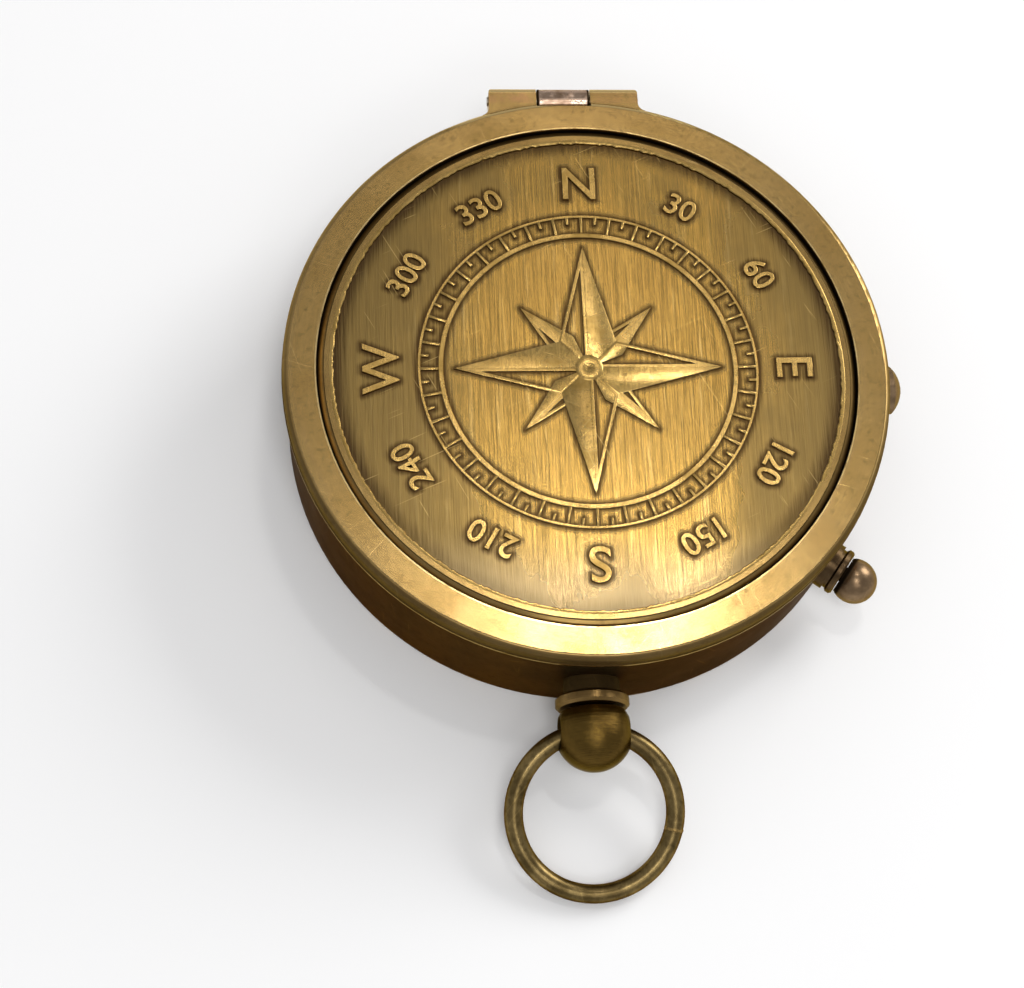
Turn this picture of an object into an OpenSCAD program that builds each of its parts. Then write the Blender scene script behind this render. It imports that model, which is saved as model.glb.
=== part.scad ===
// Pocket compass in a round brass case with a hinged lid, a bow ring on a ball pendant,
// a quarter-turn knob that lifts and locks the needle, and a push button that checks it.
// The origin is the centre of the flat underside. +Z is up, +Y points to the hinge,
// -Y to the bow ring and +X to the push button. Sizes are in millimetres.

/* [Case] */
// Outer radius of the case wall
case_r = 37; // [35:0.5:42]
// Height of the case from its underside to its rim
case_h = 16.4; // [16:0.1:19]
// Thickness of the case wall
wall_t = 2.2; // [1.8:0.1:3]
// Thickness of the wall above the glass seat
rim_t = 1.4; // [1:0.1:1.6]
// Thickness of the case floor
floor_t = 1.6; // [1.2:0.1:2]
// Radius of the rounded edge under the case
base_edge_r = 0.8; // [0.3:0.1:1]

/* [Lid] */
// How far the lid ring stands out past the case wall
lid_overhang = 0.5; // [0.2:0.1:1]
// Gap between the case rim and the closed lid
lid_gap = 0.2; // [0.1:0.05:0.4]
// Height of the lid ring
lid_h = 2.4; // [2.2:0.1:4]
// Width of the flat lid ring
lid_ring_w = 4.1; // [3:0.1:6]
// Radius of the rounded top edge of the lid ring
lid_edge_r = 0.75; // [0.3:0.05:1.2]
// How far the fine lip under the lid ring stands out
lid_lip = 0.12; // [0.05:0.01:0.3]
// Height of the fine lip
lid_lip_h = 0.3; // [0.2:0.05:0.5]
// Gap around the lid plate
plate_gap = 0.25; // [0.2:0.05:0.8]
// Thickness of the ledge that carries the lid plate
ledge_t = 0.7; // [0.5:0.05:1]
// Width of the ledge
ledge_w = 2.4; // [1.5:0.1:4]
// Thickness of the lid plate at its border
plate_t = 1.5; // [1:0.05:1.6]
// Width of the border of the lid plate, with its bevel
border_w = 1.65; // [1:0.05:3]
// Width of the bevel on the outer edge of the border
border_bevel_w = 0.65; // [0.1:0.05:0.8]
// Drop of that bevel
border_bevel_h = 0.4; // [0.1:0.05:0.8]
// Depth of the field inside the border
field_depth = 0.3; // [0.1:0.05:0.6]

/* [Hinge] */
// Width of the whole hinge
hinge_w = 19.3; // [14:0.1:26]
// How far the hinge is set off from the middle of the case, towards +X
hinge_shift = -1.3; // [-2:0.1:2]
// Width of the middle knuckle, which belongs to the case
lug_w = 6.7; // [4:0.1:9]
// Radius of the knuckles
knuckle_r = 1.35; // [1.2:0.05:1.6]
// Distance of the hinge axis from the side of the lid ring
hinge_out = 0.9; // [0.8:0.05:1.4]
// Height of the hinge axis above the underside of the lid ring
hinge_up = 0.6; // [0.4:0.05:0.9]
// Radius of the hinge pin
hinge_pin_r = 0.6; // [0.4:0.05:0.8]
// Gap on each side of the middle knuckle
knuckle_gap = 0.15; // [0.1:0.05:0.4]
// Radius of the hollow corners where the hinge block meets the lid ring
hinge_fillet_r = 1.2; // [0.5:0.1:2]
// Radius of the upright outer corners of the hinge block
hinge_corner_r = 0.8; // [0.2:0.1:1.2]
// Radius of the top outer edge of the hinge block, which passes the case rim as the lid opens
hinge_edge_r = 0.75; // [0.7:0.05:1.2]
// Radius of the top edges of the middle knuckle, which stays clear of the turning lid
lug_edge_r = 0.85; // [0.8:0.05:1.2]
// Length of the foot of the hinge lug down the case wall
lug_foot = 5; // [3:0.5:8]
// Thickness of that foot at its lower end
lug_t = 0.5; // [0.3:0.05:0.8]

/* [Pendant] */
// Height of the pendant axis above the underside
pendant_z = 8.2; // [7:0.1:9]
// How far the pendant is set off from the middle of the case, towards +X
pendant_shift = -0.6; // [-1.5:0.1:1.5]
// Radius of the pendant collar
collar_r = 4.5; // [3.8:0.1:5]
// Thickness of the pendant collar
collar_t = 1.5; // [1:0.1:2.5]
// Radius of the boss behind the collar
boss_r = 3.4; // [3:0.1:3.7]
// Length of the boss at the pendant axis
boss_l = 1.9; // [0.8:0.1:3]
// Radius of the pendant ball
ball_r = 4.7; // [4.2:0.1:5.2]
// Width of the ball between the flats around its cross hole
ball_w = 8.5; // [8:0.1:9.2]
// Width of the groove between collar and ball
ball_groove = 0.45; // [0.2:0.05:1]
// Radius of the neck in that groove
neck_r = 2.5; // [2:0.1:3.2]
// Radius of the stud that holds the ball
stud_r = 1.5; // [1.2:0.1:1.8]
// Radius of the round nut that holds the stud, sunk in the case wall from inside
nut_r = 2.5; // [2.2:0.1:2.7]
// Thickness of that nut
nut_t = 1.2; // [0.9:0.1:1.3]
// How far the ball would reach into the collar if it were whole
ball_cut = 1.7; // [0.8:0.1:2]

/* [Bow ring] */
// Radius of the bow ring, to the middle of its wire
bow_r = 9.8; // [9:0.1:12]
// Radius of the bow wire
bow_wire_r = 1.15; // [0.9:0.05:1.25]
// Radius of the cross hole through the ball
cross_hole_r = 1.65; // [1.6:0.05:1.9]
// Radius of the flared mouths of the cross hole
mouth_r = 2.1; // [2.05:0.05:2.3]
// Length of the flare
mouth_l = 1.2; // [0.6:0.1:1.4]
// How far the bow hangs out from the middle of the cross hole
bow_play = 0.3; // [0.1:0.05:0.4]
// Gap between the resting bow and what the compass stands on
bow_floor_gap = 0.03; // [0.01:0.01:0.1]

/* [Lock knob] */
// Direction of the lock knob, in degrees from +X
lock_angle = -36; // [-42:1:-30]
// Drop of the axes of the lock knob and push button below the dial plate
knob_drop = 1.6; // [1.6:0.05:1.8]
// Radius of the lock knob
lock_ball_r = 2.85; // [2.6:0.05:3.2]
// Radius of the knob's flat foot
lock_foot_r = 2.5; // [2:0.05:2.55]
// Radius of the knob's neck
lock_neck_r = 2.4; // [1.2:0.1:2.4]
// Length of the knob's neck
lock_neck_l = 0.2; // [0.1:0.05:1.5]
// Radius of the collar on the lock bush
lock_collar_r = 3.05; // [2.4:0.05:3.4]
// Length of that collar outside the case
lock_collar_l = 2.5; // [2:0.1:3]
// Thickness of the rounded flange at the end of the collar
lock_flange_t = 1; // [0.6:0.1:1.2]
// Width of the turned groove behind the flange
lock_groove_w = 0.4; // [0.2:0.1:0.6]
// Depth of that groove
lock_groove_d = 0.35; // [0.2:0.05:0.6]
// Radius of the lock bush where it goes through the wall
lock_bush_r = 1.9; // [1.6:0.05:2.2]
// Radius of the lock spindle
spindle_r = 1; // [0.8:0.05:1.1]
// Turn from free to locked, in degrees
lock_turn = 90; // [80:1:95]
// Thickness of the cam
cam_t = 1.2; // [0.8:0.1:1.6]
// Reach of the cam below its axis when the needle is free
cam_low = 1.48; // [1.45:0.01:1.5]
// Drop of the cam when it turns to the locked position
cam_drop = 0.8; // [0.7:0.05:0.85]
// Radius of the cam's hub
cam_hub_r = 1.4; // [1.3:0.05:1.45]
// Radius of the pin that holds the cam on its spindle
cam_pin_r = 0.33; // [0.25:0.01:0.4]
// Distance of that pin from the cam
cam_pin_at = 1.2; // [0.8:0.1:2]

/* [Push button] */
// Direction of the push button, in degrees from +X
stop_angle = 2.5; // [0:0.5:8]
// Radius of the button's head
button_r = 3.1; // [2.6:0.1:3.6]
// Height of the straight rim of the head
button_rim = 0.9; // [0.7:0.1:1.5]
// Height of the dome on the head
button_dome = 1.35; // [0.8:0.05:1.8]
// Travel of the button
button_travel = 1.2; // [0.6:0.1:1.4]
// Radius of the collar on the button's bush
stop_collar_r = 3.3; // [3:0.1:3.8]
// Length of that collar outside the case
stop_collar_l = 1.3; // [0.8:0.1:2]
// Radius of the button's bush where it goes through the wall
stop_bush_r = 2.6; // [2.4:0.05:3]
// Radius of the push rod
rod_r = 0.9; // [0.7:0.05:1]
// Radius of the cone on the push rod
cone_r = 1.4; // [1.2:0.05:1.45]
// Length of the cone, and of the straight part behind it
cone_l = 1; // [0.8:0.1:1.2]
// Distance of the cone from the middle of the lever's pad
cone_back = 0.6; // [0.5:0.05:0.8]
// Length of the push rod past the lever's pad
rod_past = 0.6; // [0.3:0.1:1]
// Radius of the clip that holds the push rod in
clip_r = 1.5; // [1.4:0.05:1.55]
// Thickness of that clip
clip_t = 0.5; // [0.4:0.05:0.6]
// Depth of the groove for the clip
clip_groove_d = 0.25; // [0.2:0.05:0.3]
// Mean radius of the return spring
spring_r = 1.4; // [1.3:0.05:1.45]
// Radius of the spring wire
spring_wire_r = 0.2; // [0.15:0.01:0.22]
// Number of turns of the return spring
spring_turns = 5; // [4:1:6]
// Room around the spring in its pockets
spring_room = 0.2; // [0.1:0.05:0.25]
// Depth of the spring's pocket in the bush
spring_pocket_d = 1.6; // [1.2:0.1:1.8]
// Depth of the spring's pocket in the button's head
head_pocket_d = 0.5; // [0.4:0.05:0.6]

/* [Needle lifter] */
// Distance of the cam and the lever's pads from the case bore
pad_in = 6.8; // [6.3:0.1:8]
// Drop of the lever's pivot below the top of its pads
pivot_drop = 0.52; // [0.45:0.01:0.6]
// Thickness of the lever
lever_t = 0.6; // [0.5:0.05:0.8]
// Height of the lever's pads above its top face
pad_h = 0.4; // [0.3:0.05:0.45]
// Radius of the lever's pads
pad_r = 1.8; // [1.4:0.1:2.2]
// Width of the lever's arms
arm_w = 2.2; // [1.6:0.1:3]
// Radius of the barrel at the lever's pivot
barrel_r = 1.1; // [1:0.05:1.3]
// Length of that barrel
barrel_l = 5; // [4:0.1:6]
// Radius of the lever's pin
lever_pin_r = 0.6; // [0.4:0.05:0.7]
// Lift of the sleeve and needle when locked
needle_lift = 0.55; // [0.4:0.05:0.6]
// Thickness of the bracket's ears
ear_t = 1; // [0.8:0.1:1.4]
// Width of the bracket
ear_w = 3; // [2.6:0.1:3.4]
// Gap between the lever's barrel and each ear
ear_gap = 0.15; // [0.1:0.05:0.3]
// Thickness of the bracket's foot
bracket_t = 0.45; // [0.35:0.05:0.5]
// Distance of the bracket's screws from its ears
bracket_screw_gap = 2; // [1.6:0.1:2.6]
// Length of the bracket past its screws
bracket_end = 1.6; // [1.3:0.1:2]
// How far the bracket's screws reach into the case floor
bracket_grip = 0.9; // [0.6:0.1:1]
// How far the pivot post stands above the dial plate
post_proud = 0.2; // [0.1:0.05:0.3]
// Thickness of the foot of the pivot post
post_foot_t = 1; // [0.8:0.1:1]
// Depth of the hole for the pivot pin
pin_hole_l = 3; // [2:0.5:4]
// Width of the ring around the fork's hole, past the sleeve's flange
fork_rim = 0.4; // [0.3:0.1:0.8]
// Gap between the fork and the pivot post
fork_gap = 0.8; // [0.6:0.1:1]
// Radius of the pivot post
post_r = 1.5; // [1.3:0.1:1.6]
// Radius of the foot of the pivot post
post_foot_r = 4.5; // [3.5:0.1:5]
// Wall of the lift sleeve
sleeve_t = 0.75; // [0.5:0.05:0.9]
// Radius of the sleeve's flange
sleeve_flange_r = 3.8; // [3.6:0.1:4]
// Thickness of that flange
sleeve_flange_t = 0.8; // [0.6:0.1:1]

/* [Dial and needle] */
// Thickness of the dial plate
dial_t = 0.8; // [0.5:0.1:1]
// Width of the raised degree ring
degree_ring_w = 5.1; // [4:0.1:7]
// Thickness of the raised degree ring
degree_ring_t = 1.2; // [0.9:0.1:1.4]
// Gap between the dial plate and the case bore
dial_gap = 0.2; // [0.15:0.05:0.4]
// Gap between the dial plate and the lift sleeve
dial_hole_gap = 0.5; // [0.3:0.1:0.8]
// Bevel on the inner edge of the degree ring
degree_ring_bevel = 0.4; // [0.2:0.1:0.6]
// Radius of the dial pillars
pillar_r = 1.6; // [1.3:0.1:2]
// Depth of the screw holes in the pillars
pillar_hole_l = 3; // [2.6:0.1:4]
// How far the dial screws reach into the pillars
dial_grip = 2.5; // [1.5:0.1:2.5]
// Height of the heads of the dial screws
screw_head_t = 0.6; // [0.4:0.05:0.7]
// Width of the slots in the screws
slot_w = 0.3; // [0.2:0.05:0.4]
// Radius of the heads of the dial screws
screw_head_r = 1.1; // [0.9:0.1:1.3]
// Radius of the screw shanks
screw_r = 0.6; // [0.4:0.05:0.7]
// Half width of the needle at its middle
needle_w = 2.6; // [2:0.1:3]
// Thickness of the needle
needle_t = 0.4; // [0.3:0.05:0.5]
// Height of the needle's cap
hub_h = 2.15; // [2:0.05:2.3]
// Radius of the cap
cap_r = 2.4; // [2:0.1:2.8]
// Height and width of the bevel on top of the cap
cap_bevel = 0.7; // [0.4:0.1:0.9]
// Thickness of the flange under the needle
flange_t = 0.45; // [0.35:0.05:0.5]
// How far that flange stands out past the cap
flange_w = 0.6; // [0.4:0.1:0.8]
// How far the needle's eye stands out past the cap
eye_w = 0.7; // [0.5:0.1:1]
// Wall of the cap's spigot around the jewel
spigot_t = 0.7; // [0.5:0.05:0.8]
// Distance of the needle's tips from the degree ring
needle_gap = 1; // [0.6:0.1:1.5]
// Height of the needle above the degree ring
blade_gap = 0.3; // [0.2:0.05:0.5]
// Gap between the cap and the glass when the needle is lifted
glass_gap = 0.15; // [0.1:0.05:0.2]
// Radius of the pivot pin
pivot_r = 0.45; // [0.3:0.05:0.5]
// Height of the pivot's point above the underside of the cap
tip_up = 1.05; // [0.95:0.05:1.15]
// Length of the pivot's point
point_l = 1.2; // [1:0.1:1.5]
// Radius of the pivot's very tip
tip_r = 0.04; // [0.03:0.01:0.06]
// Radius of the jewel in the cap
jewel_r = 0.9; // [0.8:0.05:1]
// Height of the jewel's underside above the underside of the cap
jewel_up = 0.8; // [0.7:0.05:0.85]
// Thickness of the cap's roof over the jewel
roof_t = 0.5; // [0.4:0.05:0.6]
// Length of the slider that balances the needle
slider_l = 1.8; // [1.4:0.1:2.4]
// Wall of the slider above and below the needle
slider_t = 0.35; // [0.25:0.05:0.4]
// Wall of the slider beside the needle
slider_side = 0.4; // [0.3:0.05:0.6]

/* [Glass] */
// Thickness of the glass
glass_t = 1.6; // [1.2:0.1:2]
// Depth of the glass seat below the case rim
seat_depth = 3.4; // [3.2:0.1:3.8]
// Thickness of the gasket under the glass
gasket_t = 0.3; // [0.2:0.05:0.4]
// Thickness of the split ring over the glass
split_ring_t = 1; // [0.6:0.05:1.1]
// Width of the split ring
split_ring_w = 1.5; // [1:0.1:2.2]
// Opening of the split ring
split_gap = 4; // [2:0.5:8]
// Depth of the groove that holds the split ring
split_groove_d = 0.3; // [0.2:0.05:0.4]

/* [Fits] */
// Radial clearance of pins, spindles and sleeves that move
running_fit = 0.05; // [0.03:0.01:0.08]
// Clearance of pieces that are set in a seat
seat_fit = 0.05; // [0.02:0.01:0.1]
// Gap between moving pieces that face each other
face_gap = 0.1; // [0.08:0.01:0.15]

/* [Hidden] */
$fn = 96;
brass = "#a8884c";
dark_brass = "#7d6233";
steel = "#9a9da1";
past = 1;

// Radii and heights of the case and lid
bore_r = case_r - wall_t;
rebate_r = case_r - rim_t;
seat_z = case_h - seat_depth;
lid_r = case_r + lid_overhang;
lid_z = case_h + lid_gap;
top_z = lid_z + lid_h;
ring_inner_r = lid_r - lid_ring_w;
plate_r = ring_inner_r - plate_gap;
plate_z = lid_z + ledge_t;
ledge_r = plate_r + plate_gap - ledge_w;

// Places around the hinge
hinge_x = lid_r + hinge_out;
hinge_z = lid_z + hinge_up;
block_x = hinge_x + knuckle_r;
notch_x = hinge_x - knuckle_r - knuckle_gap * 2;
knuckle_l = (hinge_w - lug_w) / 2 - knuckle_gap;

// Places along the pendant axis, as distances from the centre of the case
collar_x = case_r + boss_l + collar_t;
ball_face_x = collar_x + ball_groove;
ball_x = collar_x + ball_r - ball_cut;
bow_reach = bow_r - bow_play;
bow_drop = pendant_z - bow_wire_r - bow_floor_gap;
bow_tilt = asin(bow_drop / (bow_reach + bow_r));
nut_x = sqrt(pow(bore_r, 2) - pow(nut_r, 2));

// Places along the two knob axes. Both bushes end flush with the case bore
pad_at = bore_r - pad_in;
lock_face_x = case_r + lock_collar_l;
bush_in_x = sqrt(pow(bore_r, 2) - pow(stop_bush_r, 2));
lock_ball_x = lock_face_x + face_gap + lock_neck_l + sqrt(pow(lock_ball_r, 2) - pow(lock_foot_r, 2));
cam_x = pad_at - cam_t / 2;
cam_pin_x = pad_at + cam_t / 2 + cam_pin_at;
stop_face_x = case_r + stop_collar_l;
button_x = stop_face_x + face_gap + button_travel;
spring_pocket_r = spring_r + spring_wire_r + spring_room;
spring_x0 = stop_face_x - spring_pocket_d + spring_wire_r + seat_fit;
spring_x1 = button_x + head_pocket_d - spring_wire_r - seat_fit;
cone_x = pad_at + cone_back;
rod_end_x = pad_at - pad_r - rod_past;
clip_x = bush_in_x - face_gap - clip_t;

// Heights of the needle and dial, from the glass down
glass_z = seat_z + gasket_t;
split_ring_z = glass_z + glass_t;
hub_z = glass_z - glass_gap - needle_lift - hub_h;
blade_z = hub_z + flange_t;
degree_ring_z = blade_z - blade_gap - degree_ring_t;
dial_z = degree_ring_z - dial_t;
knob_z = dial_z - knob_drop;
dial_r = bore_r - dial_gap;
degree_ring_r = dial_r - degree_ring_w;
needle_l = degree_ring_r - needle_gap;
tip_z = hub_z + tip_up;
screw_at = dial_r - degree_ring_w / 2;
pillar_angles = [60, 180, 300];

// The lever turns on an axis square to the line midway between the two knobs
lever_angle = (lock_angle + stop_angle) / 2;
arm_angle = (stop_angle - lock_angle) / 2;
pad_x = pad_at * cos(arm_angle);
pad_y = pad_at * sin(arm_angle);
lever_x = pad_x * needle_lift / (needle_lift + cam_drop);
lever_top = knob_z - cam_low - face_gap;
lever_z = lever_top - pivot_drop;
lever_plate_z = lever_top - pad_h - lever_t;
fork_r = sleeve_flange_r + fork_rim;
fork_hole_r = post_r + fork_gap;
sleeve_z = lever_top + face_gap;
sleeve_r = post_r + running_fit + sleeve_t;
sleeve_top = hub_z - face_gap;
dial_hole_r = sleeve_r + dial_hole_gap;
post_top = dial_z + dial_t + post_proud;
ear_y = barrel_l / 2 + ear_gap;
bracket_screw_y = ear_y + ear_t + bracket_screw_gap;

// A turned piece: a round bar along the local X axis
module bar(r, x0, x1) {
    translate([x0, 0, 0]) rotate([0, 90, 0]) cylinder(r = r, h = x1 - x0);
}

// A cone along the local X axis
module taper(r0, r1, x0, x1) {
    translate([x0, 0, 0]) rotate([0, 90, 0]) cylinder(r1 = r0, r2 = r1, h = x1 - x0);
}

// Puts what follows on an axis that leaves the case at an angle and height
module on_axis(angle, z) {
    rotate([0, 0, angle]) translate([0, 0, z]) children();
}

// Puts what follows on the pendant's axis, with its distance from the case along X
module on_pendant() {
    translate([pendant_shift, 0, 0]) on_axis(-90, pendant_z) children();
}

// Puts what follows at the hinge, with its distance from the case along X and its width along Y
module at_hinge() {
    rotate([0, 0, 90]) translate([0, -hinge_shift, 0]) children();
}

// Cuts what follows so that its foot fits the round case wall
module saddled() {
    difference() {
        children();
        translate([0, 0, -past]) cylinder(r = case_r, h = top_z + 2 * past, $fn = 180);
    }
}

module case_profile() {
    difference() {
        union() {
            square([case_r - base_edge_r, case_h]);
            translate([0, base_edge_r]) square([case_r, case_h - base_edge_r]);
            translate([case_r - base_edge_r, base_edge_r]) circle(base_edge_r);
        }
        translate([-past, floor_t]) square([bore_r + past, case_h]);
        translate([-past, seat_z]) square([rebate_r + past, case_h]);
        translate([-past, split_ring_z]) square([rebate_r + split_groove_d + past, split_ring_t]);
    }
}

module case_body() {
    color(dark_brass) difference() {
        rotate_extrude($fn = 180) case_profile();
        on_axis(lock_angle, knob_z) bar(lock_bush_r + seat_fit, bore_r - past, case_r + past);
        on_axis(stop_angle, knob_z) bar(stop_bush_r + seat_fit, bore_r - past, case_r + past);
        on_pendant() {
            bar(stud_r + seat_fit, bore_r - past, case_r + past);
            bar(nut_r + seat_fit, bore_r - past, nut_x + nut_t);
        }
        for (side = [-1, 1])
            rotate([0, 0, lever_angle]) translate([lever_x, side * bracket_screw_y, floor_t - bracket_grip])
                cylinder(r = screw_r + seat_fit, h = bracket_grip + past);
    }
}

// Outline of a knuckle with its flat-topped block, seen along the hinge axis
module block_outline(from_x) {
    height = hinge_up + knuckle_r;
    translate([from_x, lid_z]) square([block_x - from_x, height - hinge_edge_r]);
    translate([from_x, lid_z]) square([block_x - hinge_edge_r - from_x, height]);
    translate([block_x - hinge_edge_r, lid_z + height - hinge_edge_r]) circle(hinge_edge_r);
    translate([hinge_x, hinge_z]) circle(knuckle_r);
}

// Plan of half of the hinge block, whose outer corner is rounded
module block_plan(from_x, y) {
    translate([from_x, y - knuckle_l]) square([block_x - from_x, knuckle_l - hinge_corner_r]);
    translate([from_x, y - knuckle_l]) square([block_x - hinge_corner_r - from_x, knuckle_l]);
    translate([block_x - hinge_corner_r, y - hinge_corner_r]) circle(hinge_corner_r);
}

// Outline of the middle knuckle above its axis, a square with round corners
module lug_outline() {
    flat = knuckle_r - lug_edge_r;
    translate([hinge_x - knuckle_r, hinge_z]) square([2 * knuckle_r, flat]);
    translate([hinge_x - flat, hinge_z]) square([2 * flat, knuckle_r]);
    for (side = [-1, 1]) translate([hinge_x + side * flat, hinge_z + flat]) circle(lug_edge_r);
}

// Extrudes an outline in the X-Z plane along the hinge axis, from y0 to y1
module along_hinge(y0, y1) {
    translate([0, y1, 0]) rotate([90, 0, 0]) linear_extrude(y1 - y0) children();
}

module hinge_lug() {
    foot_z = case_h - lug_foot;
    color(brass) difference() {
        saddled() at_hinge() along_hinge(-lug_w / 2, lug_w / 2) {
            polygon([
                [case_r - past, foot_z],
                [case_r + lug_t, foot_z],
                [hinge_x + knuckle_r, hinge_z - 1.6 * knuckle_r],
                [hinge_x + knuckle_r, hinge_z],
                [hinge_x - knuckle_r, hinge_z],
                [case_r - past, case_h]
            ]);
            translate([hinge_x, hinge_z]) circle(knuckle_r);
            lug_outline();
        }
        at_hinge() hinge_bore(hinge_pin_r);
    }
}

module hinge_bore(r) {
    translate([hinge_x, hinge_w / 2 + past, hinge_z]) rotate([90, 0, 0])
        cylinder(r = r, h = hinge_w + 2 * past);
}

module hinge_pin() {
    head = 0.15;
    color(steel) at_hinge() translate([hinge_x, hinge_w / 2 + head, hinge_z]) rotate([90, 0, 0])
        cylinder(r = hinge_pin_r, h = hinge_w + 2 * head);
}

module pendant_collar() {
    lip = 0.35;
    color(brass) difference() {
        saddled() on_pendant() {
            bar(boss_r, bore_r, collar_x - collar_t);
            bar(collar_r, collar_x - collar_t + lip, collar_x - lip);
            taper(collar_r - lip, collar_r, collar_x - collar_t, collar_x - collar_t + lip);
            taper(collar_r, collar_r - lip, collar_x - lip, collar_x);
        }
        on_pendant() bar(stud_r + seat_fit, bore_r - past, collar_x + past);
    }
}

// Half section of the ball beside its cross hole, whose mouths are flared and end at two flats
module ball_section() {
    mouth_y = min(ball_w / 2, sqrt(pow(ball_r, 2) - pow(mouth_r, 2)));
    difference() {
        circle(ball_r);
        translate([-ball_r - past, -ball_r - past])
            square([ball_r + past + cross_hole_r, 2 * (ball_r + past)]);
        for (side = [0, 1]) mirror([0, side]) translate([0, ball_w / 2]) square(ball_r + past);
        for (side = [-1, 1]) polygon([
            [cross_hole_r - past, side * (mouth_y - mouth_l)],
            [cross_hole_r, side * (mouth_y - mouth_l)],
            [mouth_r, side * mouth_y],
            [mouth_r, side * (ball_r + past)],
            [cross_hole_r - past, side * (ball_r + past)]
        ]);
    }
}

module pendant_ball() {
    color(brass) on_pendant() {
        difference() {
            translate([ball_x, 0, 0]) rotate([90, 0, 0]) rotate_extrude() ball_section();
            translate([ball_face_x - 2 * ball_r, -ball_r, -ball_r]) cube(2 * ball_r);
        }
        bar(neck_r, collar_x, ball_face_x);
        bar(stud_r, nut_x, collar_x);
    }
}

// A round nut with a slot across it for a forked driver
module pendant_nut() {
    slot_d = nut_t / 3;
    color(steel) on_pendant() difference() {
        bar(nut_r, nut_x, nut_x + nut_t);
        bar(stud_r + seat_fit, nut_x - past, nut_x + nut_t + past);
        translate([nut_x + slot_d - 2 * nut_t, -nut_r - past, -slot_w])
            cube([2 * nut_t, 2 * (nut_r + past), 2 * slot_w]);
    }
}

module bow_ring() {
    color(brass) on_pendant() translate([ball_x, 0, 0]) rotate([0, bow_tilt, 0])
        translate([bow_reach, 0, 0]) rotate_extrude() translate([bow_r, 0]) circle(bow_wire_r, $fn = 48);
}

module lid_ring_profile() {
    difference() {
        union() {
            translate([ledge_r, lid_z]) square([lid_r - ledge_r, lid_h - lid_edge_r]);
            translate([ledge_r, lid_z]) square([lid_r - lid_edge_r - ledge_r, lid_h]);
            translate([lid_r - lid_edge_r, top_z - lid_edge_r]) circle(lid_edge_r);
            translate([ledge_r, lid_z]) square([lid_r + lid_lip - ledge_r, lid_lip_h]);
        }
        translate([0, plate_z]) square([ring_inner_r, lid_h]);
    }
}

// Corner between the side of the hinge block and the round edge of the ring, in plan
module hinge_fillet(y) {
    cy = y + hinge_fillet_r;
    cx = sqrt(pow(lid_r + hinge_fillet_r, 2) - pow(cy, 2));
    touch = lid_r / (lid_r + hinge_fillet_r);
    difference() {
        translate([cx * touch - past, y - past]) square([cx - cx * touch + past, cy * touch - y + past]);
        translate([cx, cy]) circle(hinge_fillet_r);
    }
}

module lid_ring() {
    in_x = lid_r - lid_ring_w / 2;
    color(brass) difference() {
        union() {
            rotate_extrude($fn = 180) lid_ring_profile();
            rotate([0, 0, 90]) {
                for (side = [0, 1]) mirror([0, side, 0]) {
                    end_y = hinge_w / 2 + (side == 0 ? -hinge_shift : hinge_shift);
                    intersection() {
                        along_hinge(end_y - knuckle_l, end_y) block_outline(in_x);
                        translate([0, 0, hinge_z - knuckle_r - past])
                            linear_extrude(2 * (knuckle_r + past)) block_plan(in_x, end_y);
                    }
                    translate([0, 0, lid_z]) linear_extrude(hinge_up + knuckle_r) hinge_fillet(end_y);
                }
            }
        }
        at_hinge() {
            hinge_bore(hinge_pin_r + running_fit);
            translate([notch_x, -lug_w / 2 - knuckle_gap, lid_z - past])
                cube([knuckle_r * 4, lug_w + 2 * knuckle_gap, lid_h + 2 * past]);
        }
    }
}

module lid_plate() {
    top = plate_z + plate_t;
    color("#b8964f") rotate_extrude($fn = 180) polygon([
        [0, plate_z],
        [plate_r, plate_z],
        [plate_r, top - border_bevel_h],
        [plate_r - border_bevel_w, top],
        [plate_r - border_w, top],
        [plate_r - border_w, top - field_depth],
        [0, top - field_depth]
    ]);
}

module glass_gasket() {
    color("#2b2622") translate([0, 0, seat_z]) difference() {
        cylinder(r = rebate_r - seat_fit, h = gasket_t, $fn = 180);
        translate([0, 0, -past]) cylinder(r = bore_r, h = gasket_t + 2 * past, $fn = 180);
    }
}

module glass() {
    color("#cfe3ea", 0.35) translate([0, 0, glass_z])
        cylinder(r = rebate_r - 2 * seat_fit, h = glass_t, $fn = 180);
}

module split_ring() {
    outer_r = rebate_r + split_groove_d - seat_fit;
    color(brass) difference() {
        translate([0, 0, split_ring_z]) cylinder(r = outer_r, h = split_ring_t, $fn = 180);
        translate([0, 0, split_ring_z - past])
            cylinder(r = outer_r - split_ring_w, h = split_ring_t + 2 * past, $fn = 180);
        translate([0, -split_gap / 2, split_ring_z - past])
            cube([case_r, split_gap, split_ring_t + 2 * past]);
    }
}

module lock_bush() {
    flange_x = lock_face_x - lock_flange_t;
    lip = 0.25;
    color(brass) on_axis(lock_angle, knob_z) difference() {
        union() {
            translate([0, 0, -knob_z]) saddled() translate([0, 0, knob_z])
                bar(lock_collar_r, bore_r, flange_x - lock_groove_w);
            bar(lock_collar_r - lock_groove_d, case_r, lock_face_x);
            taper(lock_collar_r - lip, lock_collar_r, flange_x, flange_x + lip);
            bar(lock_collar_r, flange_x + lip, lock_face_x - lip);
            taper(lock_collar_r, lock_collar_r - lip, lock_face_x - lip, lock_face_x);
            bar(lock_bush_r, bush_in_x, lock_face_x);
        }
        bar(spindle_r + running_fit, bush_in_x - past, lock_face_x + past);
    }
}

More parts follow.
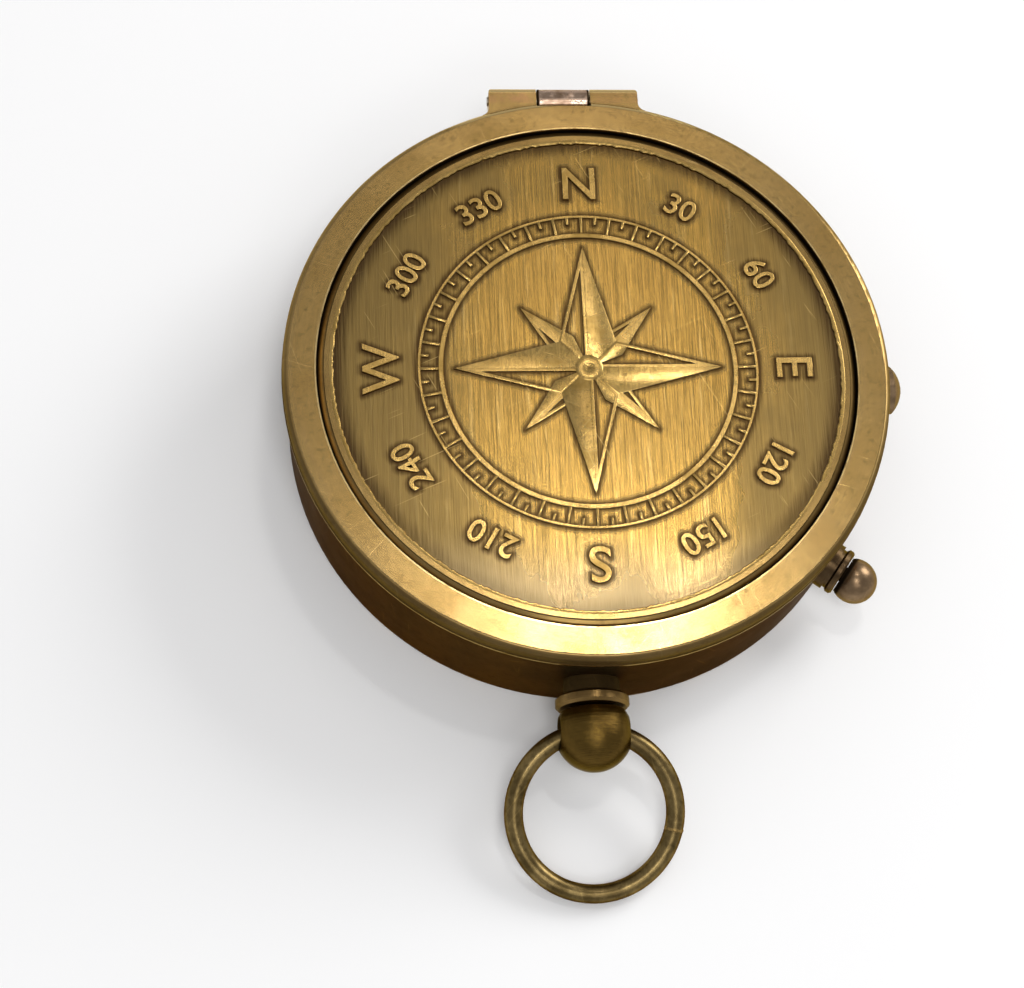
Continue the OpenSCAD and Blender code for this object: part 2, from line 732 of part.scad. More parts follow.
module lock_knob() {
    neck_x = lock_face_x + face_gap;
    color(dark_brass) on_axis(lock_angle, knob_z) {
        difference() {
            translate([lock_ball_x, 0, 0]) sphere(lock_ball_r);
            translate([neck_x + lock_neck_l - 2 * lock_ball_r, -lock_ball_r, -lock_ball_r])
                cube(2 * lock_ball_r);
        }
        bar(lock_neck_r, neck_x, neck_x + lock_neck_l);
        difference() {
            bar(spindle_r, cam_x, neck_x);
            cam_pin_hole();
        }
    }
}

module cam_pin_hole() {
    translate([cam_pin_x, 0, -cam_hub_r - past])
        cylinder(r = cam_pin_r + seat_fit / 2, h = 2 * (cam_hub_r + past));
}

// A cam face that drops a flat follower in proportion to its turn: each point lies on the
// line at distance reach(a) from the axis, seen square to the direction a
function cam_reach(a) = cam_low + cam_drop * a / lock_turn;
cam_slope = cam_drop / (lock_turn * PI / 180);
function cam_point(a) = [
    cam_reach(a) * sin(a) + cam_slope * cos(a),
    -cam_reach(a) * cos(a) + cam_slope * sin(a)
];

module lock_cam() {
    steps = 12;
    color(steel) on_axis(lock_angle, knob_z) difference() {
        union() {
            translate([cam_x, 0, 0]) rotate([90, 0, 90]) linear_extrude(cam_t) {
                circle(cam_low);
                polygon(concat(
                    [for (i = [0:steps]) cam_point(lock_turn * i / steps)],
                    [[0, cam_low], [0, -cam_low]]
                ));
            }
            bar(cam_hub_r, cam_x, bush_in_x - face_gap);
        }
        bar(spindle_r + seat_fit / 2, cam_x - past, bush_in_x);
        cam_pin_hole();
    }
}

module cam_pin() {
    color(steel) on_axis(lock_angle, knob_z) translate([cam_pin_x, 0, seat_fit - cam_hub_r])
        cylinder(r = cam_pin_r, h = 2 * (cam_hub_r - seat_fit));
}

module button_bush() {
    color(brass) on_axis(stop_angle, knob_z) difference() {
        union() {
            translate([0, 0, -knob_z]) saddled() translate([0, 0, knob_z])
                bar(stop_collar_r, bore_r, stop_face_x);
            bar(stop_bush_r, bush_in_x, stop_face_x);
        }
        bar(rod_r + running_fit, bush_in_x - past, stop_face_x + past);
        bar(spring_pocket_r, stop_face_x - spring_pocket_d, stop_face_x + past);
    }
}

// The head is a disc with a dome turned on it
module button_head() {
    dome_r = (pow(button_r, 2) + pow(button_dome, 2)) / (2 * button_dome);
    color(dark_brass) on_axis(stop_angle, knob_z) translate([button_x, 0, 0]) rotate([0, 90, 0])
        rotate_extrude() difference() {
            union() {
                square([button_r, button_rim]);
                intersection() {
                    translate([0, button_rim + button_dome - dome_r]) circle(dome_r);
                    translate([0, button_rim - 0.01]) square([button_r, button_dome + past]);
                }
            }
            translate([-past, -past]) square([spring_pocket_r + past, head_pocket_d + past]);
            translate([-past, -past]) square([rod_r + seat_fit / 2 + past, button_rim + past]);
        }
}

module push_rod() {
    color(steel) on_axis(stop_angle, knob_z) difference() {
        union() {
            bar(rod_r, rod_end_x, button_x + button_rim - seat_fit);
            taper(rod_r, cone_r, cone_x, cone_x + cone_l);
            bar(cone_r, cone_x + cone_l, cone_x + 2 * cone_l);
        }
        difference() {
            bar(rod_r + past, clip_x, clip_x + clip_t);
            bar(rod_r - clip_groove_d, clip_x - past, clip_x + clip_t + past);
        }
    }
}

// The clip is open at the top so that it can be pressed over the groove
module rod_clip() {
    fit = seat_fit / 2;
    mouth_w = rod_r;
    color(steel) on_axis(stop_angle, knob_z) difference() {
        bar(clip_r, clip_x + fit, clip_x + clip_t - fit);
        bar(rod_r - clip_groove_d + fit, clip_x - past, clip_x + clip_t + past);
        translate([clip_x - past, -mouth_w / 2, 0]) cube([clip_t + 2 * past, mouth_w, clip_r + past]);
    }
}

// Points of the spring: one unbroken wire that winds along the local X axis
spring_rings = 12;
spring_sides = 6;
spring_count = spring_turns * spring_rings;
function spring_mid(i) = [
    spring_x0 + (spring_x1 - spring_x0) * i / spring_count,
    spring_r * cos(360 * i / spring_rings),
    spring_r * sin(360 * i / spring_rings)
];
function spring_point(i, s) =
    let (turn = 360 * i / spring_rings, side = 360 * s / spring_sides, out = spring_wire_r * cos(side))
    spring_mid(i) + [spring_wire_r * sin(side), out * cos(turn), out * sin(turn)];

module button_spring() {
    points = [for (i = [0:spring_count]) for (s = [0:spring_sides - 1]) spring_point(i, s)];
    walls = [
        for (i = [0:spring_count - 1]) for (s = [0:spring_sides - 1])
            let (a = i * spring_sides + s, b = i * spring_sides + (s + 1) % spring_sides)
            for (face = [[a, a + spring_sides, b + spring_sides], [a, b + spring_sides, b]]) face
    ];
    first = [for (s = [0:spring_sides - 1]) s];
    last = [for (s = [spring_sides - 1:-1:0]) spring_count * spring_sides + s];
    color(steel) on_axis(stop_angle, knob_z)
        polyhedron(points, concat(walls, [first, last]), convexity = 10);
}

module dial_pillars() {
    pillar_h = dial_z - floor_t;
    color(brass) for (angle = pillar_angles) on_axis(angle, floor_t) translate([screw_at, 0, 0])
        difference() {
            cylinder(r = pillar_r, h = pillar_h);
            translate([0, 0, pillar_h - pillar_hole_l])
                cylinder(r = screw_r + seat_fit, h = pillar_hole_l + past);
        }
}

module dial_plate() {
    color("#e9e2cc") difference() {
        translate([0, 0, dial_z]) cylinder(r = dial_r, h = dial_t, $fn = 180);
        translate([0, 0, dial_z - past]) cylinder(r = dial_hole_r, h = dial_t + 2 * past);
        for (angle = pillar_angles) on_axis(angle, dial_z - past) translate([screw_at, 0, 0])
            cylinder(r = screw_r + seat_fit, h = dial_t + 2 * past);
    }
}

module degree_ring() {
    bevel = degree_ring_bevel;
    top = degree_ring_z + degree_ring_t;
    color("#d9d6cb") difference() {
        rotate_extrude($fn = 180) polygon([
            [degree_ring_r, degree_ring_z],
            [dial_r, degree_ring_z],
            [dial_r, top],
            [degree_ring_r + bevel, top],
            [degree_ring_r, top - bevel]
        ]);
        for (angle = pillar_angles) on_axis(angle, degree_ring_z - past) translate([screw_at, 0, 0]) {
            cylinder(r = screw_r + seat_fit, h = degree_ring_t + 2 * past);
            translate([0, 0, degree_ring_t - screw_head_t + past])
                cylinder(r = screw_head_r + seat_fit, h = 2 * past);
        }
    }
}

module slotted_screw(head_z, shank_l) {
    difference() {
        union() {
            translate([0, 0, head_z]) cylinder(r = screw_head_r, h = screw_head_t - seat_fit);
            translate([0, 0, head_z - shank_l]) cylinder(r = screw_r, h = shank_l);
        }
        translate([-screw_head_r - past, -slot_w / 2, head_z + screw_head_t / 2])
            cube([2 * (screw_head_r + past), slot_w, screw_head_t]);
    }
}

module dial_screws() {
    head_z = degree_ring_z + degree_ring_t - screw_head_t;
    color(steel) for (angle = pillar_angles) on_axis(angle, 0) translate([screw_at, 0, 0])
        slotted_screw(head_z, head_z - dial_z + dial_grip);
}

module pivot_post() {
    color(brass) difference() {
        union() {
            translate([0, 0, floor_t]) cylinder(r = post_foot_r, h = post_foot_t);
            translate([0, 0, floor_t]) cylinder(r = post_r, h = post_top - floor_t);
        }
        translate([0, 0, post_top - pin_hole_l])
            cylinder(r = pivot_r + seat_fit / 2, h = pin_hole_l + past);
    }
}

module pivot_pin() {
    foot_z = post_top - pin_hole_l + seat_fit;
    color(steel) {
        translate([0, 0, foot_z]) cylinder(r = pivot_r, h = tip_z - point_l - foot_z);
        translate([0, 0, tip_z - point_l]) cylinder(r1 = pivot_r, r2 = tip_r, h = point_l);
    }
}

module lever_bracket() {
    color(brass) rotate([0, 0, lever_angle]) difference() {
        union() {
            translate([lever_x - ear_w / 2, -bracket_screw_y - bracket_end, floor_t])
                cube([ear_w, 2 * (bracket_screw_y + bracket_end), bracket_t]);
            for (side = [0, 1]) mirror([0, side, 0]) along_hinge(ear_y, ear_y + ear_t) {
                translate([lever_x - ear_w / 2, floor_t]) square([ear_w, lever_z - floor_t]);
                translate([lever_x, lever_z]) circle(ear_w / 2);
            }
        }
        translate([lever_x, ear_y + ear_t + past, lever_z]) rotate([90, 0, 0])
            cylinder(r = lever_pin_r + seat_fit / 2, h = 2 * (ear_y + ear_t + past));
        for (side = [-1, 1]) translate([lever_x, side * bracket_screw_y, floor_t - past])
            cylinder(r = screw_r + seat_fit, h = bracket_t + 2 * past);
    }
}

module lever_pin() {
    end = 0.3;
    color(steel) rotate([0, 0, lever_angle]) translate([lever_x, ear_y + ear_t + end, lever_z])
        rotate([90, 0, 0]) cylinder(r = lever_pin_r, h = 2 * (ear_y + ear_t + end));
}

module bracket_screws() {
    color(steel) rotate([0, 0, lever_angle]) for (side = [-1, 1])
        translate([lever_x, side * bracket_screw_y, 0])
            slotted_screw(floor_t + bracket_t, bracket_t + bracket_grip);
}

// A flat arm between two points, in plan
module arm(from, to, w) {
    span = to - from;
    translate(from) rotate(atan2(span[1], span[0])) translate([0, -w / 2]) square([norm(span), w]);
}

// The lever forks outwards to a pad under each knob axis. Its eye surrounds the pivot post and
// lifts the sleeve on two rounded ribs
module lifter_lever() {
    trunk_w = barrel_l * 0.8;
    split_x = lever_x + ear_w / 2 + trunk_w * 0.3;
    pads = [[pad_x, pad_y], [pad_x, -pad_y]];
    color(steel) rotate([0, 0, lever_angle]) difference() {
        union() {
            translate([0, 0, lever_plate_z]) linear_extrude(lever_t) {
                circle(fork_r);
                arm([0, 0], [split_x, 0], trunk_w);
                for (pad = pads) {
                    arm([split_x, 0], pad, arm_w);
                    translate(pad) circle(pad_r);
                }
                translate([split_x, 0]) circle(trunk_w / 2);
            }
            for (pad = pads) translate([pad[0], pad[1], lever_plate_z])
                cylinder(r = pad_r, h = lever_t + pad_h);
            translate([lever_x, barrel_l / 2, lever_z]) rotate([90, 0, 0])
                cylinder(r = barrel_r, h = barrel_l);
            for (side = [0, 1]) mirror([0, side, 0]) along_hinge(fork_hole_r, fork_r - fork_rim / 2) {
                translate([0, lever_top - pad_h]) circle(pad_h);
            }
        }
        translate([0, 0, lever_plate_z - past]) cylinder(r = fork_hole_r, h = lever_t + pad_h + 2 * past);
        translate([lever_x, barrel_l / 2 + past, lever_z]) rotate([90, 0, 0])
            cylinder(r = lever_pin_r + running_fit, h = barrel_l + 2 * past);
    }
}

module lift_sleeve() {
    color(brass) difference() {
        union() {
            translate([0, 0, sleeve_z]) cylinder(r = sleeve_flange_r, h = sleeve_flange_t);
            translate([0, 0, sleeve_z]) cylinder(r = sleeve_r, h = sleeve_top - sleeve_z);
        }
        translate([0, 0, sleeve_z - past])
            cylinder(r = post_r + running_fit, h = sleeve_top - sleeve_z + 2 * past);
    }
}

module needle_outline() {
    polygon([[0, needle_l], [needle_w, 0], [0, -needle_l], [-needle_w, 0]]);
}

// The needle is a long lozenge with a round eye
module needle_blade() {
    color("#2f4a7c") translate([0, 0, blade_z]) difference() {
        union() {
            linear_extrude(needle_t) needle_outline();
            cylinder(r = cap_r + eye_w, h = needle_t);
        }
        translate([0, 0, -past]) cylinder(r = jewel_r + spigot_t + seat_fit, h = needle_t + 2 * past);
    }
}

module needle_cap() {
    top = hub_z + hub_h;
    cap_z = blade_z + needle_t;
    color(brass) rotate_extrude() difference() {
        union() {
            translate([0, hub_z]) square([cap_r + flange_w, flange_t]);
            translate([0, hub_z]) square([jewel_r + spigot_t, hub_h - roof_t]);
            polygon([
                [0, cap_z],
                [cap_r, cap_z],
                [cap_r, top - cap_bevel],
                [cap_r - cap_bevel, top],
                [0, top]
            ]);
        }
        translate([-past, hub_z - past]) square([jewel_r + seat_fit / 2 + past, hub_h - roof_t + past]);
    }
}

module needle_jewel() {
    bottom = hub_z + jewel_up;
    top = hub_z + hub_h - roof_t;
    cup_d = tip_z + face_gap - bottom;
    color("#8c2f3c") rotate_extrude() polygon([
        [0, top],
        [0, bottom + cup_d],
        [cup_d * 0.7, bottom],
        [jewel_r, bottom],
        [jewel_r, top]
    ]);
}

module needle_slider() {
    near = needle_l / 2 - slider_l / 2;
    w = needle_w * (1 - near / needle_l) + slider_side;
    fit = seat_fit / 2;
    color(brass) difference() {
        translate([-w, -near - slider_l, blade_z - slider_t])
            cube([2 * w, slider_l, needle_t + 2 * slider_t]);
        translate([0, 0, blade_z - fit]) linear_extrude(needle_t + 2 * fit) needle_outline();
    }
}

case_body();
hinge_lug();
hinge_pin();
pendant_collar();
pendant_ball();
pendant_nut();
lock_bush();
button_bush();
button_spring();
dial_pillars();
dial_plate();
degree_ring();
dial_screws();
pivot_post();
pivot_pin();
lever_bracket();
lever_pin();
bracket_screws();
glass_gasket();
glass();
split_ring();
lid_ring();
lid_plate();
bow_ring();
lock_knob();
lock_cam();
cam_pin();
button_head();
push_rod();
rod_clip();
lifter_lever();
lift_sleeve();
needle_blade();
needle_cap();
needle_jewel();
needle_slider();
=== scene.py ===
# Pocket compass in aged brass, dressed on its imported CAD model.
# Sizes in the dictionaries are in millimetres unless a note says otherwise.
import math

import bpy
from mathutils import Matrix, Vector
from mathutils.bvhtree import BVHTree


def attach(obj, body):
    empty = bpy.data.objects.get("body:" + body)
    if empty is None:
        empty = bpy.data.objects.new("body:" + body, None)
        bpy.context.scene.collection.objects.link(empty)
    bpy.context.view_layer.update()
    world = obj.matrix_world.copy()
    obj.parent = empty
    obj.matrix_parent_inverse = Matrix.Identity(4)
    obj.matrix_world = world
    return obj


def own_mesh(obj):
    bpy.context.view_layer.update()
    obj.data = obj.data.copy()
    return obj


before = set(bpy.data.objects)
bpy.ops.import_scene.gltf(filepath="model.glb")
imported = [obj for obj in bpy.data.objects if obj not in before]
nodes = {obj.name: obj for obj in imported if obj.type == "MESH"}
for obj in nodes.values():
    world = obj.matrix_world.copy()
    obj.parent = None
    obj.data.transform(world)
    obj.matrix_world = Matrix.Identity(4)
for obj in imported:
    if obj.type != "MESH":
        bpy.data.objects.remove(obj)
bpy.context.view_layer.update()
mm = 0.001
far = 60.0  # past the compass on every side
mixFactor, mixA, mixB, mixResult = 0, 6, 7, 2  # sockets of a colour Mix node
smooth = {"interpolation_type": "SMOOTHSTEP"}  # a Map Range that eases in and out


# Camera at the photograph's viewing angle

photoView = {
    "target": (0.0, 0.0, 19.0),
    "azimuth": -13.2,
    "elevation": 68.46,
    "roll": 11.67,
    "distance": 269.7,
    "offCentre": (9.48, 15.63),
    "lens": 77.34,
    "sensor": 36,
    "clipStart": 5.0,
}


def addCamera(view):
    elevation, roll = math.radians(view["elevation"]), math.radians(view["roll"])
    back = Vector((0, -math.cos(elevation), math.sin(elevation)))
    right = Vector((1, 0, 0))
    up = back.cross(right)
    turnedRight = math.cos(roll) * right + math.sin(roll) * up
    turnedUp = math.cos(roll) * up - math.sin(roll) * right
    shiftX, shiftY = view["offCentre"]
    place = view["distance"] * back - shiftX * turnedRight - shiftY * turnedUp
    around = Matrix.Rotation(math.radians(view["azimuth"]), 3, "Z")
    axes = around @ Matrix((turnedRight, turnedUp, back)).transposed()
    matrix = axes.to_4x4()
    matrix.translation = (around @ place + Vector(view["target"])) * mm
    bpy.ops.object.camera_add()
    camera = bpy.context.object
    camera.name = "photoCamera"
    camera.matrix_world = matrix
    camera.data.lens = view["lens"]
    camera.data.sensor_width = view["sensor"]
    camera.data.sensor_fit = "HORIZONTAL"
    camera.data.clip_start = view["clipStart"] * mm
    bpy.context.scene.camera = camera


addCamera(photoView)
print("camera placed")


# Nodes and colours

def toLinear(hexText):
    parts = [int(hexText[i:i + 2], 16) / 255 for i in (1, 3, 5)]
    return tuple(c / 12.92 if c <= 0.04045 else ((c + 0.055) / 1.055) ** 2.4 for c in parts) + (1.0,)


def setInputs(tree, node, inputs):
    for name, value in inputs.items():
        if isinstance(value, bpy.types.NodeSocket):
            tree.links.new(value, node.inputs[name])
        else:
            node.inputs[name].default_value = value


def addNode(tree, kind, settings=None, inputs=None):
    node = tree.nodes.new(kind)
    for name, value in (settings or {}).items():
        setattr(node, name, value)
    setInputs(tree, node, inputs or {})
    return node


def startMaterial(name):
    material = bpy.data.materials.new(name)
    material.use_nodes = True
    tree = material.node_tree
    tree.nodes.clear()
    shader = addNode(tree, "ShaderNodeBsdfPrincipled")
    addNode(tree, "ShaderNodeOutputMaterial", inputs={"Surface": shader.outputs[0]})
    return material, tree, shader


def placeInMillimetres(tree):
    coordinates = addNode(tree, "ShaderNodeTexCoord")
    return addNode(tree, "ShaderNodeMapping", inputs={
        "Vector": coordinates.outputs["Object"], "Scale": (1000, 1000, 1000)}).outputs[0]


def painted(tree, colour, *layers):
    # each layer is a mask and the colour that it lays over what is there; a colour is hex or a socket
    for mask, layer in layers:
        under, over = [toLinear(c) if isinstance(c, str) else c for c in (colour, layer)]
        colour = addNode(tree, "ShaderNodeMix", {"data_type": "RGBA"}, {
            mixFactor: mask, mixA: under, mixB: over}).outputs[mixResult]
    return colour


def combined(tree, how, *masks):
    # MULTIPLY keeps what all masks share, or thins one by a share, and MAXIMUM takes in each of them
    whole = masks[0]
    for mask in masks[1:]:
        whole = addNode(tree, "ShaderNodeMath", {"operation": how}, {0: whole, 1: mask}).outputs[0]
    return whole


def cloudMask(tree, place, size, band, detail=5.0):
    # soft blotches about "size" mm wide, as patina leaves them
    moved = addNode(tree, "ShaderNodeMapping", inputs={"Vector": place, "Scale": (1 / size,) * 3})
    noise = addNode(tree, "ShaderNodeTexNoise", inputs={
        "Vector": moved.outputs[0], "Scale": 1.0, "Detail": detail, "Roughness": 0.6})
    return addNode(tree, "ShaderNodeMapRange", smooth, {
        "Value": noise.outputs["Fac"], "From Min": band[0], "From Max": band[1]}).outputs[0]


def distanceFrom(tree, place, centre=(0, 0, 0), axisMask=(1, 1, 0)):
    # distance from a line through centre: the axis it runs along is masked out, the others may be stretched
    moved = addNode(tree, "ShaderNodeVectorMath", {"operation": "SUBTRACT"}, {0: place, 1: centre})
    flat = addNode(tree, "ShaderNodeVectorMath", {"operation": "MULTIPLY"}, {
        0: moved.outputs[0], 1: axisMask})
    return addNode(tree, "ShaderNodeVectorMath", {"operation": "LENGTH"}, {
        0: flat.outputs[0]}).outputs["Value"]


def bandMask(tree, value, band):
    # 1 between low and high, falling to 0 over "soft" mm outside
    low, high, soft = band
    rise = addNode(tree, "ShaderNodeMapRange", smooth, {
        "Value": value, "From Min": low - soft, "From Max": low})
    fall = addNode(tree, "ShaderNodeMapRange", smooth, {
        "Value": value, "From Min": high, "From Max": high + soft, "To Min": 1.0, "To Max": 0.0})
    return combined(tree, "MULTIPLY", rise.outputs[0], fall.outputs[0])


def sliceMask(tree, place, axis, band):
    # a band along one axis
    parts = addNode(tree, "ShaderNodeSeparateXYZ", inputs={"Vector": place})
    return bandMask(tree, parts.outputs[axis], band)


def edgeMask(tree, place, bands, edge):
    # an edge that runs round the Z axis: where its band of radius meets its band of height
    return combined(tree, "MULTIPLY", bandMask(tree, distanceFrom(tree, place), bands[edge + "Radius"]),
                    sliceMask(tree, place, "Z", bands[edge + "Height"]))


def fadeAlong(tree, place, axis, reach, shares, settings=None):
    # a share that goes from its first value to its second between two places on an axis
    parts = addNode(tree, "ShaderNodeSeparateXYZ", inputs={"Vector": place})
    return addNode(tree, "ShaderNodeMapRange", settings, {
        "Value": parts.outputs[axis], "From Min": reach[0], "From Max": reach[1],
        "To Min": shares[0], "To Max": shares[1]}).outputs[0]


def brushLines(tree, place, spacing, length, direction):
    # fine lines "spacing" mm apart: straight along an axis, round the Z axis, or turned round Y as "XZ"
    if direction == "round":
        radius = distanceFrom(tree, place)
        parts = addNode(tree, "ShaderNodeSeparateXYZ", inputs={"Vector": place})
        turn = addNode(tree, "ShaderNodeMath", {"operation": "ARCTAN2"}, {
            0: parts.outputs["Y"], 1: parts.outputs["X"]})
        lines = addNode(tree, "ShaderNodeCombineXYZ", inputs={
            "X": radius, "Y": turn.outputs[0], "Z": parts.outputs["Z"]}).outputs[0]
        reach = 36  # about the case's radius, which turns the angle to a length
        scale = (1 / spacing, reach / length, 1 / spacing)
    else:
        lines = place
        scale = tuple(1 / length if axis in direction else 1 / spacing for axis in "XYZ")
    moved = addNode(tree, "ShaderNodeMapping", inputs={"Vector": lines, "Scale": scale})
    return addNode(tree, "ShaderNodeTexNoise", inputs={
        "Vector": moved.outputs[0], "Scale": 1.0, "Detail": 3.0, "Roughness": 0.7}).outputs["Fac"]


def scratchMask(tree, place, angle, spacing, rarity):
    # sparse hairline scratches that run one way, a few mm long
    turned = addNode(tree, "ShaderNodeMapping", inputs={
        "Vector": place, "Rotation": (0.2, 0.1, math.radians(angle))})
    moved = addNode(tree, "ShaderNodeMapping", inputs={
        "Vector": turned.outputs[0], "Scale": (0.15, 1 / spacing, 0.15)})
    noise = addNode(tree, "ShaderNodeTexNoise", inputs={
        "Vector": moved.outputs[0], "Scale": 1.0, "Detail": 0.0})
    return addNode(tree, "ShaderNodeMapRange", smooth, {
        "Value": noise.outputs["Fac"], "From Min": rarity, "From Max": rarity + 0.05}).outputs[0]


# Brass that was polished and left to darken: bright metal, a brown film that lies in blotches, patina and
# painted shade in corners, and fine marks of handling. Each look gives colours, roughness and where grime,
# painted shade, wear and painted highlights sit.

baseLook = {
    # the grime colour also paints shade in gaps and grooves, and the worn colour also paints highlights on
    # the ring
    "metal": "#c2a05c", "film": "#8a6c3b", "grimeAndShade": "#2c2012", "wornAndHighlight": "#ecd089", "edge": "#d8c7a0",
    "blotch": 9.0, "filmBand": (0.35, 0.68), "fleck": 0.35, "fleckSize": 0.7, "fleckBand": (0.5, 0.8),
    "brushed": "X", "lineSpacing": 0.12, "lineLength": 6.0, "lineBand": (0.35, 0.68),
    "lineColour": 0.25, "lineDepth": 0.012,
    "scratchAngles": (18, 71, 134), "scratchWidth": 0.2, "scratchRarity": 0.8, "scratchColour": 0.2,
    "scratchDepth": 0.004, "dentSize": 2.2, "dentBand": (0.3, 0.75), "dentDepth": 0.01,
    "roughness": 0.26, "filmRoughness": 0.14,  # the clean metal's, and what the film adds
    # the grime's roughness is also given to the painted shade
    "wornAndHighlightRoughness": 0.8, "grimeAndShadeRoughness": 0.7,  # a share of the clean metal's, and the grime's own
}


def agedBrass(name, look, grimeAndShadeIn=None, wornAndHighlightOn=None, tintOn=None):
    material, tree, shader = startMaterial(name)
    place = placeInMillimetres(tree)
    film = cloudMask(tree, place, look["blotch"], look["filmBand"])
    fleck = cloudMask(tree, place, look["fleckSize"], look["fleckBand"], detail=1.5)
    lines = brushLines(tree, place, look["lineSpacing"], look["lineLength"], look["brushed"])
    lineFrom, lineTo = look["lineBand"]
    lineShare = addNode(tree, "ShaderNodeMapRange", inputs={
        "Value": lines, "From Min": lineFrom, "From Max": lineTo, "To Max": look["lineColour"]})
    scratches = combined(tree, "MAXIMUM", *[
        scratchMask(tree, place, angle, look["scratchWidth"], look["scratchRarity"])
        for angle in look["scratchAngles"]])
    layers = [
        (film, "film"),
        (combined(tree, "MULTIPLY", fleck, look["fleck"]), "grimeAndShade"),
        (lineShare.outputs[0], "film"),
        (combined(tree, "MULTIPLY", scratches, look["scratchColour"]), "wornAndHighlight"),
    ]
    smoothest = look["roughness"]
    rough = addNode(tree, "ShaderNodeMapRange", inputs={
        "Value": film, "To Min": smoothest, "To Max": smoothest + look["filmRoughness"]}).outputs[0]
    if tintOn:
        layers.append((tintOn(tree, place), "tint"))
    # the grime mask lays patina at the feet of raised work and painted shade in gaps, slits and grooves; the
    # wear mask lays worn edges and, on the ring, painted highlights
    for maskOn, hue, endRough in (
        (wornAndHighlightOn, "wornAndHighlight", smoothest * look["wornAndHighlightRoughness"]), (grimeAndShadeIn, "grimeAndShade", look["grimeAndShadeRoughness"]),
    ):
        if maskOn:
            mask = maskOn(tree, place)
            layers.append((mask, hue))
            rough = addNode(tree, "ShaderNodeMapRange", inputs={
                "Value": mask, "To Min": rough, "To Max": endRough}).outputs[0]
    relief = combined(tree, "MULTIPLY", lines, look["lineDepth"])
    dents = cloudMask(tree, place, look["dentSize"], look["dentBand"], detail=2.0)
    for height, depth in ((scratches, -look["scratchDepth"]), (dents, look["dentDepth"])):
        relief = addNode(tree, "ShaderNodeMath", {"operation": "MULTIPLY_ADD"}, {
            0: height, 1: depth, 2: relief}).outputs[0]
    bump = addNode(tree, "ShaderNodeBump", inputs={"Height": relief, "Distance": mm, "Strength": 1.0})
    setInputs(tree, shader, {
        "Base Color": painted(tree, look["metal"], *[(mask, look[hue]) for mask, hue in layers]),
        "Roughness": rough, "Normal": bump.outputs[0], "Metallic": 1.0,
        "Specular Tint": toLinear(look["edge"])})
    return material


def dress(material, *names):
    for name in names:
        data = nodes[name].data
        data.materials.clear()
        data.materials.append(material)


# Turning, cutting and joining

def clearSelection():
    if bpy.context.object and bpy.context.object.mode != "OBJECT":
        bpy.ops.object.mode_set(mode="OBJECT")
    bpy.ops.object.select_all(action="DESELECT")
    bpy.context.tool_settings.mesh_select_mode = (True, False, False)


def settled(name, piece):
    # the piece's place goes into its mesh, so its object sits at the origin
    clearSelection()
    piece.select_set(True)
    bpy.context.view_layer.objects.active = piece
    bpy.ops.object.transform_apply(location=True, rotation=True, scale=True)
    piece.name = name
    piece.data.name = name
    return piece


def turnedRing(name, profile, steps=240):
    # a loop is extruded and resized through each (radius, height) and its two ends are bridged
    clearSelection()
    radius, height = profile[0]
    bpy.ops.mesh.primitive_circle_add(vertices=steps, radius=radius * mm, location=(0, 0, height * mm))
    piece = settled(name, bpy.context.object)
    bpy.ops.object.mode_set(mode="EDIT")
    bpy.ops.mesh.select_all(action="SELECT")
    for (r0, z0), (r1, z1) in zip(profile, profile[1:]):
        bpy.ops.mesh.extrude_region_move(TRANSFORM_OT_translate={"value": (0, 0, (z1 - z0) * mm)})
        bpy.ops.transform.resize(value=(r1 / r0, r1 / r0, 1), center_override=(0, 0, z1 * mm))
    bpy.ops.mesh.select_all(action="DESELECT")
    bpy.ops.mesh.select_mode(type="EDGE")
    bpy.ops.mesh.select_non_manifold()
    bpy.ops.mesh.bridge_edge_loops()
    bpy.ops.mesh.select_all(action="SELECT")
    bpy.ops.mesh.normals_make_consistent(inside=False)
    bpy.ops.object.mode_set(mode="OBJECT")
    return piece


def cutPlate(name, corners, low, high, bevel, stroke=None):
    # a square is bisected along each side of a convex outline, then raised; stroke leaves a frame
    clearSelection()
    reach = 3 * max(math.hypot(x, y) for x, y in corners)
    bpy.ops.mesh.primitive_plane_add(size=reach * mm, location=(0, 0, low * mm))
    piece = settled(name, bpy.context.object)
    bpy.ops.object.mode_set(mode="EDIT")
    for (x0, y0), (x1, y1) in zip(corners, corners[1:] + corners[:1]):
        outward = Vector((y1 - y0, x0 - x1, 0)).normalized()
        bpy.ops.mesh.select_all(action="SELECT")
        bpy.ops.mesh.bisect(
            plane_co=(x0 * mm, y0 * mm, low * mm), plane_no=outward, clear_outer=True, threshold=1e-7)
    bpy.ops.mesh.select_all(action="SELECT")
    if stroke:
        bpy.ops.mesh.inset(thickness=stroke * mm, depth=0)
        bpy.ops.mesh.delete(type="FACE")
        bpy.ops.mesh.select_all(action="SELECT")
    bpy.ops.mesh.extrude_region_move(TRANSFORM_OT_translate={"value": (0, 0, (high - low) * mm)})
    bpy.ops.mesh.select_all(action="SELECT")
    bpy.ops.mesh.normals_make_consistent(inside=False)
    bpy.ops.object.mode_set(mode="OBJECT")
    finish = piece.modifiers.new("softEdge", "BEVEL")
    finish.width = bevel * mm
    finish.segments = 2
    finish.limit_method = "ANGLE"
    finish.angle_limit = math.radians(50)
    bpy.ops.object.modifier_apply(modifier="softEdge")
    return piece


def turnedCopy(piece, degrees, name):
    copy = piece.copy()
    copy.data = piece.data.copy()
    bpy.context.scene.collection.objects.link(copy)
    copy.data.transform(Matrix.Rotation(math.radians(degrees), 4, "Z"))
    copy.name = name
    return copy


def joined(name, pieces):
    clearSelection()
    for piece in pieces:
        piece.select_set(True)
    bpy.context.view_layer.objects.active = pieces[0]
    bpy.ops.object.join()
    return settled(name, bpy.context.object)


